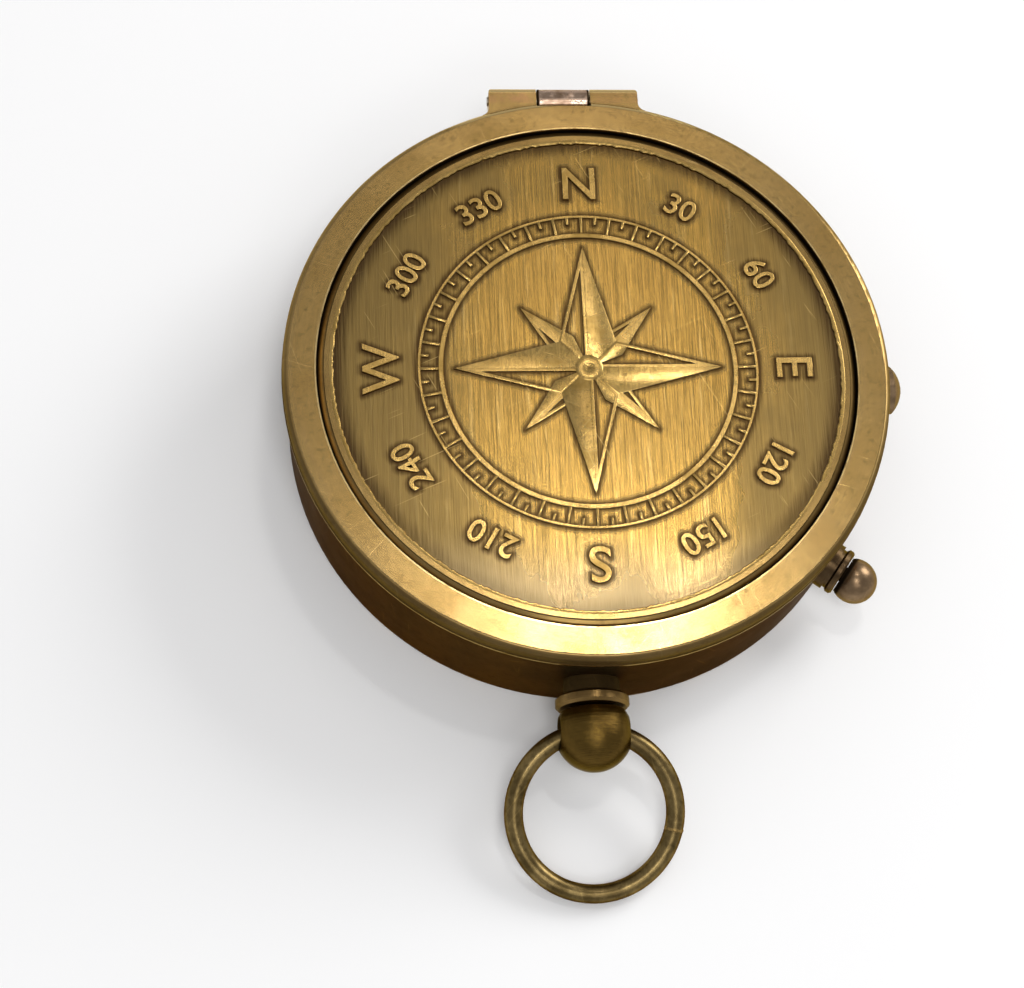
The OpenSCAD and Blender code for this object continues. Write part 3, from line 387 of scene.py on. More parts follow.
def compassStar(star, low, high):
    # four long points over four short ones, each point half solid and half an outline
    pieces = []
    for tip, shoulder, first, step, drop in (
        (star["starShort"], star["shoulderShort"], 45, 22.5, star["shortDrop"]),
        (star["starLong"], star["shoulderLong"], 0, 45, 0),
    ):
        side = math.radians(step)
        out, up = shoulder * math.sin(side), shoulder * math.cos(side)
        outlines = ([(0.0, 0.0), (out, up), (0.0, tip)], [(0.0, 0.0), (0.0, tip), (-out, up)])
        solid = cutPlate("starSolid", outlines[0], low, high - drop, star["bevel"])
        framed = cutPlate("starFrame", outlines[1], low, high - drop, star["bevel"], star["stroke"])
        for i in range(4):
            pieces += [turnedCopy(half, first + 90 * i, "starHalf") for half in (solid, framed)]
        for half in (solid, framed):
            bpy.data.objects.remove(half)
    return pieces


def dialMarks(every, skip, inner, outer, wide, low, high, bevel):
    # one mark is cut and copied round, all but each "skip"-th place
    half = wide / 2
    mark = cutPlate("mark", [(-half, inner), (half, inner), (half, outer), (-half, outer)], low, high, bevel)
    copies = [turnedCopy(mark, every * i, "mark") for i in range(360 // every) if skip is None or i % skip]
    bpy.data.objects.remove(mark)
    return copies


def figure(text, size, radius, degrees, low, high, bevel=0.0):
    # a letter or number in Blender's own typeface, turned to a mesh and set round the middle
    clearSelection()
    bpy.ops.object.text_add()
    piece = bpy.context.object
    piece.data.body = text
    piece.data.size = size * mm
    piece.data.align_x = "CENTER"
    piece.data.align_y = "CENTER"
    piece.data.extrude = (high - low) / 2 * mm
    piece.data.bevel_depth = bevel * mm
    piece.data.bevel_resolution = 1
    piece.data.resolution_u = 6
    piece.data.offset = 0.02 * mm
    bpy.ops.object.convert(target="MESH")
    piece = bpy.context.object
    turn = math.radians(degrees)
    piece.location = (radius * math.sin(turn) * mm, radius * math.cos(turn) * mm, (low + high) / 2 * mm)
    piece.rotation_euler = (0, 0, -turn)
    return settled("figure", piece)


def dressPiece(piece, material, body, angle=30):
    piece.data.materials.clear()
    piece.data.materials.append(material)
    clearSelection()
    piece.select_set(True)
    bpy.context.view_layer.objects.active = piece
    bpy.ops.object.shade_smooth_by_angle(angle=math.radians(angle))
    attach(piece, body)
    piece.select_set(False)


# Wind rose raised on the lid's etched field, with numbers round it as on a dial

lidField = {
    "z": 18.5, "relief": 0.24, "sunk": 0.05,
    "starLong": 16.6, "starShort": 11.6, "shoulderLong": 5.0, "shoulderShort": 4.6,
    "stroke": 0.42, "shortDrop": 0.05, "bevel": 0.05,
    "ringIn": 17.9, "ringOut": 18.5, "outerRingIn": 20.7, "outerRingOut": 21.05, "ringBevel": 0.06,
    "boss": 1.7, "bossHole": 0.35, "bossDish": (0.5, 0.8), "bossBevel": 0.12,
    "markWide": 0.34, "markShorter": 1.25, "markOverlap": 0.1,
    "letterSize": 6.4, "letterAt": 25.3, "numberSize": 4.1, "numberAt": 25.4, "figureBevel": 0.045,
}


def windRose(field):
    low, high, soft = field["z"] - field["sunk"], field["z"] + field["relief"], field["ringBevel"]
    pieces = compassStar(field, low, high)
    for inner, outer in (("ringIn", "ringOut"), ("outerRingIn", "outerRingOut")):
        a, b = field[inner], field[outer]
        pieces.append(turnedRing("roseRing", [
            (a, low), (b, low), (b, high - soft), (b - soft, high), (a + soft, high), (a, high - soft)]))
    dishLow, dishHigh = field["bossDish"]
    pieces.append(turnedRing("roseBoss", [
        (field["bossHole"], low), (field["boss"], low), (field["boss"], high),
        (field["boss"] - field["bossBevel"], high + soft), (dishHigh, high + soft), (dishLow, high)],
        steps=64))
    markEnd = field["outerRingIn"] + field["markOverlap"]
    for every, skip, shorter in ((10, None, 0), (5, 2, field["markShorter"])):
        pieces += dialMarks(
            every, skip, field["ringOut"] + shorter, markEnd, field["markWide"], low, high, field["bevel"])
    for i in range(12):
        text, size, radius = str(30 * i), field["numberSize"], field["numberAt"]
        if i % 3 == 0:
            text, size, radius = "NESW"[i // 3], field["letterSize"], field["letterAt"]
        pieces.append(figure(text, size, radius, 30 * i, low, high, field["figureBevel"]))
    return joined("windRose", pieces)


rose = windRose(lidField)
print("wind rose raised:", len(rose.data.polygons), "faces")


# Etched field: a thin skin over the sunk field, which knows how near the raised work is

fieldSkin = {"z": 18.512, "radius": 31.55, "pitch": 0.22, "reach": 2.5}


def etchedSkin(skin, raised):
    clearSelection()
    size = 2 * skin["radius"]
    count = int(size / skin["pitch"])
    bpy.ops.mesh.primitive_grid_add(
        x_subdivisions=count, y_subdivisions=count, size=size * mm, location=(0, 0, skin["z"] * mm))
    piece = settled("etchedField", bpy.context.object)
    bpy.ops.object.mode_set(mode="EDIT")
    bpy.ops.mesh.select_all(action="DESELECT")
    bpy.ops.object.mode_set(mode="OBJECT")
    for vertex in piece.data.vertices:
        vertex.select = math.hypot(vertex.co.x, vertex.co.y) > skin["radius"] * mm
    bpy.ops.object.mode_set(mode="EDIT")
    bpy.ops.mesh.delete(type="VERT")
    bpy.ops.object.mode_set(mode="OBJECT")
    tree = BVHTree.FromPolygons(
        [v.co for v in raised.data.vertices], [tuple(p.vertices) for p in raised.data.polygons])
    near = piece.data.attributes.new("reliefGap", "FLOAT", "POINT")
    for vertex, value in zip(piece.data.vertices, near.data):
        found = tree.find_nearest(vertex.co, skin["reach"] * mm)
        value.value = found[3] / mm if found[3] is not None else skin["reach"]
    return piece


fieldPiece = etchedSkin(fieldSkin, rose)
print("etched field laid:", len(fieldPiece.data.polygons), "faces")


# Ragged lip where the etching stopped against the border

lipSize = {
    "inner": 31.3, "outer": 31.8, "low": 18.45, "high": 18.83, "ragged": 0.12, "raggedWide": 0.2,
    "bevel": 0.12, "innerStep": 0.04, "innerDrop": 0.1, "outerDrop": 0.03,
    "waves": ((97, 0), (61, 1.3), (173, 0.4), (211, 2.1)),  # waves round the lip, and each one's start
}


def raggedLip(size):
    inner, outer, high, step = size["inner"], size["outer"], size["high"], size["innerStep"]
    lip = turnedRing("fieldLip", [
        (inner, size["low"]), (outer, size["low"]), (outer, high - size["outerDrop"]),
        (outer - size["bevel"], high), (inner + step + size["bevel"], high),
        (inner + step, high - size["innerDrop"])], steps=900)
    for vertex in lip.data.vertices:
        radius = math.hypot(vertex.co.x, vertex.co.y)
        turn = math.atan2(vertex.co.y, vertex.co.x)
        if radius < (inner + size["raggedWide"]) * mm:
            wave = sum(math.sin(count * turn + start) for count, start in size["waves"])
            wave /= len(size["waves"])
            grow = 1 + wave * size["ragged"] * mm / radius
            vertex.co.x *= grow
            vertex.co.y *= grow
    return lip


lip = raggedLip(lipSize)
print("border lip laid")


# Materials of the lid. The band of a mask is where it starts, where it ends and how softly. A cloud is
# the size of its blotches and the span of noise in which they fade in.

ringLook = {
    **baseLook, "metal": "#b4965f", "film": "#957948", "wornAndHighlight": "#e2c68a", "tint": "#ad8460",
    "filmBand": (0.25, 0.8), "brushed": "round", "lineSpacing": 0.11, "lineLength": 3.0,
    "lineColour": 0.4, "lineDepth": 0.003, "fleck": 0.25, "roughness": 0.19, "filmRoughness": 0.06,
    "scratchDepth": 0.001, "dentSize": 4.0, "dentDepth": 0.005,
}
lidRing = {"outer": 37.5, "inner": 33.4, "top": 19.0, "blockEdge": 39.05}
ringBands = {
    # gap, side and front place the ring's painted shade
    "gapRadius": (0, lidRing["inner"] + 0.02, 0.12), "gapHeight": (0, lidRing["top"] - 0.4, 0.3),
    "sideRadius": (lidRing["outer"] - 0.5, lidRing["outer"] + 0.05, 0.25),
    "sideHeight": (16.9, 18.93, 0.08), "front": ((-20.0, 25.0), (0.68, 0.12)),
    "footRadius": (lidRing["outer"] - 0.1, far, 0.05), "footHeight": (0, 16.8, 0.1),
    "innerRadius": (lidRing["inner"], lidRing["inner"] + 0.12, 0.08),
    "innerHeight": (lidRing["top"] - 0.03, far, 0.03),
    # blockEdge, back and arc place painted highlights on the ring
    "blockEdge": (lidRing["blockEdge"], far, 0.18), "back": (34.5, far, 1.5),
    "arcRadius": (lidRing["outer"] - 0.6, lidRing["outer"] + 0.06, 0.15),
    "arcHeight": (18.58, 18.99, 0.03), "wornCloud": (2.5, (0.3, 0.6)), "highlightShare": 0.85,
    "blocks": (lidRing["outer"] + 0.1, far, 0.3), "tintCloud": (1.8, (0.35, 0.65)),
    "left": ((-4.0, 4.0), (0.75, 0.3)),
}


def ringGrime(tree, place):
    # painted shade in the gap round the plate, and down the ring's outer side, most in front
    side = combined(tree, "MULTIPLY", edgeMask(tree, place, ringBands, "side"),
                    fadeAlong(tree, place, "Y", *ringBands["front"], smooth))
    return combined(tree, "MAXIMUM", edgeMask(tree, place, ringBands, "gap"), side)


def ringWear(tree, place):
    # bare metal worn on the ring's lower and inner edges, and a painted highlight on the blocks' outer edge
    # and on the arc before them
    foot, inner, arc = [edgeMask(tree, place, ringBands, edge) for edge in ("foot", "inner", "arc")]
    uneven = cloudMask(tree, place, *ringBands["wornCloud"])
    edges = combined(tree, "MULTIPLY", combined(tree, "MAXIMUM", foot, inner), uneven)
    backArc = combined(tree, "MULTIPLY", arc, sliceMask(tree, place, "Y", ringBands["back"]))
    behind = combined(tree, "MAXIMUM", sliceMask(tree, place, "Y", ringBands["blockEdge"]), backArc)
    return combined(tree, "MAXIMUM", edges, combined(tree, "MULTIPLY", behind, ringBands["highlightShare"]))


def hingeTint(tree, place):
    # the two blocks of the hinge went coppery where fingers rub them, the left one most
    return combined(tree, "MULTIPLY", sliceMask(tree, place, "Y", ringBands["blocks"]),
                    cloudMask(tree, place, *ringBands["tintCloud"]),
                    fadeAlong(tree, place, "X", *ringBands["left"]))


dress(agedBrass("satinRingBrass", ringLook, ringGrime, ringWear, hingeTint), "lid_ring")

borderLook = {
    **ringLook, "metal": "#a98c55", "film": "#7f653a", "fleck": 0.15, "dentSize": 3.0, "dentDepth": 0.004,
}
lidBorder = {"bevelFrom": 32.5, "outer": 33.15, "bevelFoot": 18.4}
borderBands = {
    "line": (lidBorder["bevelFrom"] - 0.06, lidBorder["bevelFrom"] + 0.04, 0.06), "lineShare": 0.75,
    "bevel": (lidBorder["bevelFrom"], far, 0.05), "sides": ((-30.0, -16.0), (0.0, 0.35)),
    "wallRadius": (lidBorder["outer"] - 0.03, far, 0.02),
    "wallHeight": (17.0, lidBorder["bevelFoot"] - 0.03, 0.05),
}


def borderGrime(tree, place):
    # painted shade: a thin dark line where the bevel starts, a grey-brown bevel but for its front, and dark
    # metal below
    radius = distanceFrom(tree, place)
    line = combined(tree, "MULTIPLY", bandMask(tree, radius, borderBands["line"]), borderBands["lineShare"])
    bevel = combined(tree, "MULTIPLY", bandMask(tree, radius, borderBands["bevel"]),
                     fadeAlong(tree, place, "Y", *borderBands["sides"]))
    return combined(tree, "MAXIMUM", line, bevel, edgeMask(tree, place, borderBands, "wall"))


dress(agedBrass("borderBrass", borderLook, borderGrime), "lid_plate")


# Etched brass: brushed up and down, darkened toward the border and in the corners of the raised work

etchedLook = {
    "bright": "#b8954f", "mid": "#8c6f3c", "olive": "#6b5a37", "dark": "#38291a", "halo": "#3a2918",
    "streak": "#d6b876", "pale": "#a5926f", "edge": "#d8c7a0",
    "lineSpacing": 0.16, "lineLength": 9.0, "lineBand": (0.33, 0.68), "lineDepth": 0.014,
    "streakSpacing": 0.7, "streakLength": 14.0, "streakBand": (0.55, 0.75), "streakShare": 0.5,
    "streakDepth": 0.03,
    "columnMiddle": (2, 0, 0), "columnStretch": (1.3, 0.75, 0), "patchSize": (11, 17, 11),
    "patchReach": 34.0, "filmBand": (30.0, 50.0), "filmShare": 0.8,
    "frontSheen": ((-31.0, -20.0), (0.6, 0.0)),
    "combLength": 3.6, "combBand": (30.9, 33.2), "comb": ((-29.0, -12.0), (0.35, 0.9)),
    "haloWobble": 0.9, "haloBand": (0.5, 1.35), "haloShare": 0.9,
    "scratches": ((62, 0.8), (-24, 0.82)), "scratchWidth": 0.2, "scratchShare": 0.35,
    "roughness": 0.2, "filmRoughness": 0.34,
}


def etchedBrass(look):
    material, tree, shader = startMaterial("etchedFieldBrass")
    place = placeInMillimetres(tree)
    radius = distanceFrom(tree, place)
    brush = brushLines(tree, place, look["lineSpacing"], look["lineLength"], "Y")
    brushWide = brushLines(tree, place, look["streakSpacing"], look["streakLength"], "Y")
    low, high = look["lineBand"]
    fine = addNode(tree, "ShaderNodeMapRange", inputs={"Value": brush, "From Min": low, "From Max": high})
    low, high = look["streakBand"]
    streaks = addNode(tree, "ShaderNodeMapRange", smooth, {
        "Value": brushWide, "From Min": low, "From Max": high, "To Max": look["streakShare"]})
    # the film thickens outwards, unevenly and most towards the sides, which leaves a bright column down the
    # middle, partly burnished brass and partly a painted reflection
    column = distanceFrom(tree, place, look["columnMiddle"], look["columnStretch"])
    patches = addNode(tree, "ShaderNodeMapping", inputs={
        "Vector": place, "Scale": tuple(1 / size for size in look["patchSize"])})
    cloud = addNode(tree, "ShaderNodeTexNoise", inputs={
        "Vector": patches.outputs[0], "Scale": 1.0, "Detail": 4.0, "Roughness": 0.55})
    spread = addNode(tree, "ShaderNodeMath", {"operation": "MULTIPLY_ADD"}, {
        0: cloud.outputs["Fac"], 1: look["patchReach"], 2: column})
    low, high = look["filmBand"]
    film = addNode(tree, "ShaderNodeMapRange", smooth, {
        "Value": spread.outputs[0], "From Min": low, "From Max": high, "To Max": look["filmShare"]})
    # painted sheen: the front of the field is painted pale
    frontSheen = fadeAlong(tree, place, "Y", *look["frontSheen"], smooth)
    # short comb-like streaks run from the border along the brushing
    comb = addNode(tree, "ShaderNodeMath", {"operation": "MULTIPLY_ADD"}, {
        0: brush, 1: look["combLength"], 2: radius})
    low, high = look["combBand"]
    teeth = addNode(tree, "ShaderNodeMapRange", smooth, {
        "Value": comb.outputs[0], "From Min": low, "From Max": high})
    # the comb is real etching, and its fading towards the front is painted sheen
    edge = combined(tree, "MULTIPLY", teeth.outputs[0], fadeAlong(tree, place, "Y", *look["comb"], smooth))
    # dark film round the feet of the raised work
    gap = addNode(tree, "ShaderNodeAttribute", {"attribute_name": "reliefGap"}).outputs["Fac"]
    wobble = addNode(tree, "ShaderNodeMath", {"operation": "MULTIPLY_ADD"}, {
        0: brush, 1: look["haloWobble"], 2: gap})
    low, high = look["haloBand"]
    halo = addNode(tree, "ShaderNodeMapRange", smooth, {
        "Value": wobble.outputs[0], "From Min": low, "From Max": high,
        "To Min": look["haloShare"], "To Max": 0.0})
    marks = combined(tree, "MAXIMUM", *[
        scratchMask(tree, place, angle, look["scratchWidth"], rarity)
        for angle, rarity in look["scratches"]])
    marks = combined(tree, "MULTIPLY", marks, look["scratchShare"])
    colour = painted(
        tree, look["mid"], (fine.outputs[0], look["bright"]), (streaks.outputs[0], look["streak"]),
        (film.outputs[0], look["olive"]), (frontSheen, look["pale"]), (edge, look["dark"]),
        (halo.outputs[0], look["halo"]), (marks, look["streak"]))
    rough = addNode(tree, "ShaderNodeMapRange", inputs={
        "Value": combined(tree, "MAXIMUM", halo.outputs[0], film.outputs[0]),
        "To Min": look["roughness"], "To Max": look["filmRoughness"]})
    relief = addNode(tree, "ShaderNodeMath", {"operation": "MULTIPLY_ADD"}, {
        0: brushWide, 1: look["streakDepth"], 2: combined(tree, "MULTIPLY", brush, look["lineDepth"])})
    bump = addNode(tree, "ShaderNodeBump", inputs={
        "Height": relief.outputs[0], "Distance": mm, "Strength": 1.0})
    setInputs(tree, shader, {
        "Base Color": colour, "Roughness": rough.outputs[0], "Normal": bump.outputs[0],
        "Metallic": 1.0, "Specular Tint": toLinear(look["edge"])})
    return material


dressPiece(fieldPiece, etchedBrass(etchedLook), "lid")

reliefLook = {
    **baseLook, "metal": "#c8a765", "film": "#94773f", "blotch": 4.0, "filmBand": (0.35, 0.75),
    "brushed": "Y", "lineSpacing": 0.15, "lineLength": 5.0, "lineColour": 0.4,
    "dentDepth": 0.006, "fleck": 0.3, "roughness": 0.22, "filmRoughness": 0.1,
    "foot": (0, lidField["z"] + 0.07, 0.1), "footShare": 0.85,
}
lipLook = {**reliefLook, "fleck": 0.08, "lineDepth": 0.003, "dentDepth": 0.002}


def reliefGrime(tree, place):
    # dark metal along the foot of the raised work
    foot = sliceMask(tree, place, "Z", reliefLook["foot"])
    return combined(tree, "MULTIPLY", foot, reliefLook["footShare"])


dressPiece(rose, agedBrass("burnishedReliefBrass", reliefLook, reliefGrime), "lid", 35)
dressPiece(lip, agedBrass("borderLipBrass", lipLook, reliefGrime), "lid", 20)
print("lid dressed")


# Materials of the case, hinge, pendant and knobs

# the case's brass is dark partly from its patina and partly as a painted reflection of dark surroundings
caseLook = {
    **baseLook, "metal": "#7d6945", "film": "#5b4a2d", "wornAndHighlight": "#a88a55", "grimeAndShade": "#20160d",
    "edge": "#8c7d6e", "blotch": 14.0, "filmBand": (0.3, 0.7), "brushed": "round", "lineSpacing": 0.2,
    "lineLength": 14.0, "lineColour": 0.35, "roughness": 0.34, "scratchColour": 0.3,
    "foot": (0.1, 0.9, 0.3), "rim": (16.1, 17, 0.3), "outer": (36.0, far, 0.5),
    "wornCloud": (4.0, (0.4, 0.7)),
}


def caseWear(tree, place):
    # bare metal in places on the outer edges of the foot and the rim
    foot, rim = [sliceMask(tree, place, "Z", caseLook[edge]) for edge in ("foot", "rim")]
    return combined(tree, "MULTIPLY", combined(tree, "MAXIMUM", foot, rim),
                    cloudMask(tree, place, *caseLook["wornCloud"]),
                    bandMask(tree, distanceFrom(tree, place), caseLook["outer"]))


dress(agedBrass("agedCaseBrass", caseLook, None, caseWear), "case_body")

hingeLook = {
    **baseLook, "metal": "#d9bfab", "film": "#9c7c60", "wornAndHighlight": "#f2dcc4", "blotch": 3.0,
    "dentSize": 1.4, "dentDepth": 0.04, "lineSpacing": 0.2, "lineLength": 3.0, "roughness": 0.24,
    "leftSlit": (-far, -4.5, 0.25), "rightSlit": (1.9, far, 0.25), "strap": (38.2, 38.9, 0.25),
    "strapCloud": (1.6, (0.3, 0.6)), "strapShare": 0.7,
}


def hingeGrime(tree, place):
    # painted shade in the slits beside the middle knuckle, on its flat top and down its strap
    slits = [sliceMask(tree, place, "X", hingeLook[side]) for side in ("leftSlit", "rightSlit")]
    strap = combined(tree, "MULTIPLY", sliceMask(tree, place, "Y", hingeLook["strap"]),
                     cloudMask(tree, place, *hingeLook["strapCloud"]), hingeLook["strapShare"])
    return combined(tree, "MAXIMUM", *slits, strap)


dress(agedBrass("rubbedHingeBrass", hingeLook, hingeGrime), "hinge_lug")

# the ball's brass is dark partly from its patina and partly as a painted reflection of dark surroundings
pendantLook = {
    **baseLook, "metal": "#675125", "film": "#443317", "wornAndHighlight": "#c9a866", "grimeAndShade": "#1c140a",
    "edge": "#e0d4b8", "blotch": 8.0, "filmBand": (0.25, 0.8), "fleck": 0.25, "brushed": "XZ",
    "lineLength": 8.0, "lineDepth": 0.045, "lineColour": 0.4, "scratchColour": 0.12,
    "scratchDepth": 0.002, "dentSize": 2.4, "dentDepth": 0.006, "roughness": 0.24, "filmRoughness": 0.06,
}
ballPlace = {"centre": (-0.6, -43.4, 8.2), "hole": (0, 1.8, 0.5), "neck": (-40.6, -40.0, 0.1)}


def pendantGrime(tree, place):
    # painted shade round the bow's hole and on the neck
    hole = distanceFrom(tree, place, ballPlace["centre"], (0, 1, 1))
    return combined(tree, "MAXIMUM", bandMask(tree, hole, ballPlace["hole"]),
                    sliceMask(tree, place, "Y", ballPlace["neck"]))


dress(agedBrass("polishedPendantBrass", pendantLook, pendantGrime), "pendant_ball")
collarLook = {
    **pendantLook, "metal": "#8d7244", "film": "#5f4a2d", "lineDepth": 0.006, "roughness": 0.28,
    "boss": (-38.95, 0, 0.1), "bossShare": 0.7,
}


def collarGrime(tree, place):
    # painted shade on the boss behind the collar
    boss = sliceMask(tree, place, "Y", collarLook["boss"])
    return combined(tree, "MULTIPLY", boss, collarLook["bossShare"])


dress(agedBrass("collarBrass", collarLook, collarGrime), "pendant_collar")

bowLook = {
    **pendantLook, "metal": "#8a764c", "film": "#57482b", "blotch": 3.0, "filmBand": (0.35, 0.7),
    "brushed": "Y", "lineSpacing": 0.2, "lineLength": 3.0, "lineColour": 0.5, "lineDepth": 0.012,
    "fleck": 0.5, "roughness": 0.3, "edge": "#b39a68",
}
dress(agedBrass("bowWireBrass", bowLook), "bow_ring")

knobLook = {
    **baseLook, "metal": "#91795c", "film": "#68543f", "wornAndHighlight": "#dcb48a", "grimeAndShade": "#20180f",
    "blotch": 4.0, "filmBand": (0.3, 0.8), "lineSpacing": 0.3, "lineLength": 3.0, "lineDepth": 0.004,
    "scratchColour": 0.1, "scratchDepth": 0.003, "fleck": 0.15,
    "filmRoughness": 0.08, "dentSize": 2.0, "dentDepth": 0.008,
}
knobPlace = {"angle": -36.0, "groove": (0, 40.02, 0.35), "beside": (-4, 4, 0.5)}


def knobGrime(tree, place):
    # painted shade in the groove between the lock knob's ball and its bush
    turn = math.radians(knobPlace["angle"])
    along, across = [
        addNode(tree, "ShaderNodeVectorMath", {"operation": "DOT_PRODUCT"}, {
            0: place, 1: axis}).outputs["Value"]
        for axis in ((math.cos(turn), math.sin(turn), 0), (-math.sin(turn), math.cos(turn), 0))]
    return combined(tree, "MULTIPLY", bandMask(tree, along, knobPlace["groove"]),
                    bandMask(tree, across, knobPlace["beside"]))


dress(agedBrass("knobBronze", knobLook, knobGrime), "lock_knob", "button_head")
# the bushes are the knob's bronze made darker, as painted shade behind the knobs
bushLook = {**knobLook, "metal": "#6b573d", "film": "#413222"}
dress(agedBrass("bushBrass", bushLook), "lock_bush", "button_bush")
innerLook = {
    **baseLook, "metal": "#cfae66", "film": "#b08d4b", "brushed": "round", "lineSpacing": 0.15,
    "lineColour": 0.2, "fleck": 0.1, "roughness": 0.24, "filmRoughness": 0.08,
}
dress(agedBrass("turnedBrass", innerLook), "dial_pillars", "pivot_post", "lever_bracket", "split_ring",
      "lift_sleeve", "needle_cap", "needle_slider")
print("case dressed")


# Steel, enamel, glass and the rest of the works. A pair for roughness is the smoothest and the roughest.

steelLook = {
    "metal": "#b9bcbf", "line": "#5b5d60", "roughness": (0.22, 0.34), "lineSpacing": 0.08,
    "lineLength": 3.0, "lineBand": (0.3, 0.7), "lineShare": 0.35, "lineDepth": 0.01,
}
pinLook = {**steelLook, "metal": "#a89e8e", "roughness": (0.3, 0.42)}


def groundSteel(name, look):
    # ground steel: a cool grey metal with fine parallel grinding lines
    material, tree, shader = startMaterial(name)
    lines = brushLines(tree, placeInMillimetres(tree), look["lineSpacing"], look["lineLength"], "X")
    low, high = look["lineBand"]
    shade = addNode(tree, "ShaderNodeMapRange", inputs={
        "Value": lines, "From Min": low, "From Max": high, "To Max": look["lineShare"]})
    low, high = look["roughness"]
    rough = addNode(tree, "ShaderNodeMapRange", inputs={"Value": lines, "To Min": low, "To Max": high})
    bump = addNode(tree, "ShaderNodeBump", inputs={"Height": lines, "Distance": look["lineDepth"] * mm})
    setInputs(tree, shader, {
        "Base Color": painted(tree, look["metal"], (shade.outputs[0], look["line"])),
        "Roughness": rough.outputs[0], "Normal": bump.outputs[0], "Metallic": 1.0})
    return material


dress(groundSteel("groundSteel", steelLook), "pendant_nut", "button_spring", "dial_screws", "pivot_pin",
      "lever_pin", "bracket_screws", "lock_cam", "cam_pin", "push_rod", "rod_clip", "lifter_lever")
dress(groundSteel("hingePinSteel", pinLook), "hinge_pin")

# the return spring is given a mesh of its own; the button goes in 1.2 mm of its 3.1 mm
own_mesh(nodes["button_spring"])

needleLook = {
    "bright": "#c4c6c8", "blue": "#1f3a86", "violet": "#33307a", "roughness": (0.16, 0.3),
    "lineSpacing": 0.1, "lineLength": 5.0, "heatCloud": (5.0, (0.3, 0.7)),
    "border": ((-0.4, 0.4), (0.0, 1.0)),
}


def bluedSteel(look):
    # heat-blued steel: the north half is a deep violet blue, the south half is left bright
    material, tree, shader = startMaterial("bluedSteel")
    place = placeInMillimetres(tree)
    north = fadeAlong(tree, place, "Y", *look["border"], smooth)
    blue = painted(tree, look["blue"], (cloudMask(tree, place, *look["heatCloud"]), look["violet"]))
    lines = brushLines(tree, place, look["lineSpacing"], look["lineLength"], "Y")
    low, high = look["roughness"]
    rough = addNode(tree, "ShaderNodeMapRange", inputs={"Value": lines, "To Min": low, "To Max": high})
    setInputs(tree, shader, {
        "Base Color": painted(tree, look["bright"], (north, blue)),
        "Roughness": rough.outputs[0], "Metallic": 1.0})
    return material


silverLook = {
    "silver": "#dedcd3", "yellowed": "#c4bda6", "roughness": (0.3, 0.5), "yellowCloud": (6.0, (0.35, 0.75)),
    "lineSpacing": 0.1, "lineLength": 2.0, "lineDepth": 0.01,
}


def silveredBrass(look):
    # brass silvered by rubbing: a soft white metal with a fine circular grain, yellowing a little
    material, tree, shader = startMaterial("silveredBrass")
    place = placeInMillimetres(tree)
    lines = brushLines(tree, place, look["lineSpacing"], look["lineLength"], "round")
    film = cloudMask(tree, place, *look["yellowCloud"])
    low, high = look["roughness"]
    rough = addNode(tree, "ShaderNodeMapRange", inputs={"Value": lines, "To Min": low, "To Max": high})
    bump = addNode(tree, "ShaderNodeBump", inputs={"Height": lines, "Distance": look["lineDepth"] * mm})
    setInputs(tree, shader, {
        "Base Color": painted(tree, look["silver"], (film, look["yellowed"])),
        "Roughness": rough.outputs[0], "Normal": bump.outputs[0], "Metallic": 1.0})
    return material


enamelLook = {
    "cream": "#ece4cc", "aged": "#dfd3b2", "speck": "#a8966a", "ageCloud": (10.0, (0.35, 0.75)),
    "speckCloud": (0.5, (0.7, 0.8)), "speckShare": 0.35, "ageDepth": 0.02, "roughness": 0.22,
}


def creamEnamel(look):
    # baked enamel: a cream coat, glossy and very slightly uneven
    material, tree, shader = startMaterial("creamEnamel")
    place = placeInMillimetres(tree)
    age = cloudMask(tree, place, *look["ageCloud"])
    speck = combined(tree, "MULTIPLY", cloudMask(tree, place, *look["speckCloud"]), look["speckShare"])
    bump = addNode(tree, "ShaderNodeBump", inputs={"Height": age, "Distance": look["ageDepth"] * mm})
    setInputs(tree, shader, {
        "Base Color": painted(tree, look["cream"], (age, look["aged"]), (speck, look["speck"])),
        "Normal": bump.outputs[0], "Roughness": look["roughness"]})
    return material


def plainCoat(name, look):
    # one colour that shifts a little in soft clouds: moulded rubber, polished ruby or printing ink
    material, tree, shader = startMaterial(name)
    cloud = cloudMask(tree, placeInMillimetres(tree), look["cloud"], (0.3, 0.7))
    low, high = look["roughness"]
    rough = addNode(tree, "ShaderNodeMapRange", inputs={"Value": cloud, "To Min": low, "To Max": high})
    setInputs(tree, shader, {
        "Base Color": painted(tree, look["colour"], (cloud, look["shift"])), "Roughness": rough.outputs[0]})
    return material


rubberLook = {"colour": "#1a1a1a", "shift": "#262524", "roughness": (0.6, 0.7), "cloud": 1.0}
rubyLook = {"colour": "#8c1226", "shift": "#6a0a1b", "roughness": (0.08, 0.18), "cloud": 0.6}
glassLook = {"colour": "#f1f8f6", "roughness": 0.02, "ior": 1.5}


def clearGlass(look):
    # flat watch glass: clear, polished, a trace of green, with light let through to the dial
    material, tree, shader = startMaterial("clearGlass")
    setInputs(tree, shader, {
        "Base Color": toLinear(look["colour"]), "Roughness": look["roughness"],
        "Transmission Weight": 1.0, "IOR": look["ior"]})
    return material


dress(bluedSteel(needleLook), "needle_blade")
dress(silveredBrass(silverLook), "degree_ring")
dress(creamEnamel(enamelLook), "dial_plate")
dress(plainCoat("gasketRubber", rubberLook), "glass_gasket")
dress(plainCoat("rubyJewel", rubyLook), "needle_jewel")
dress(clearGlass(glassLook), "glass")
print("works dressed")


# Printing on the dial and graduations on the silvered ring

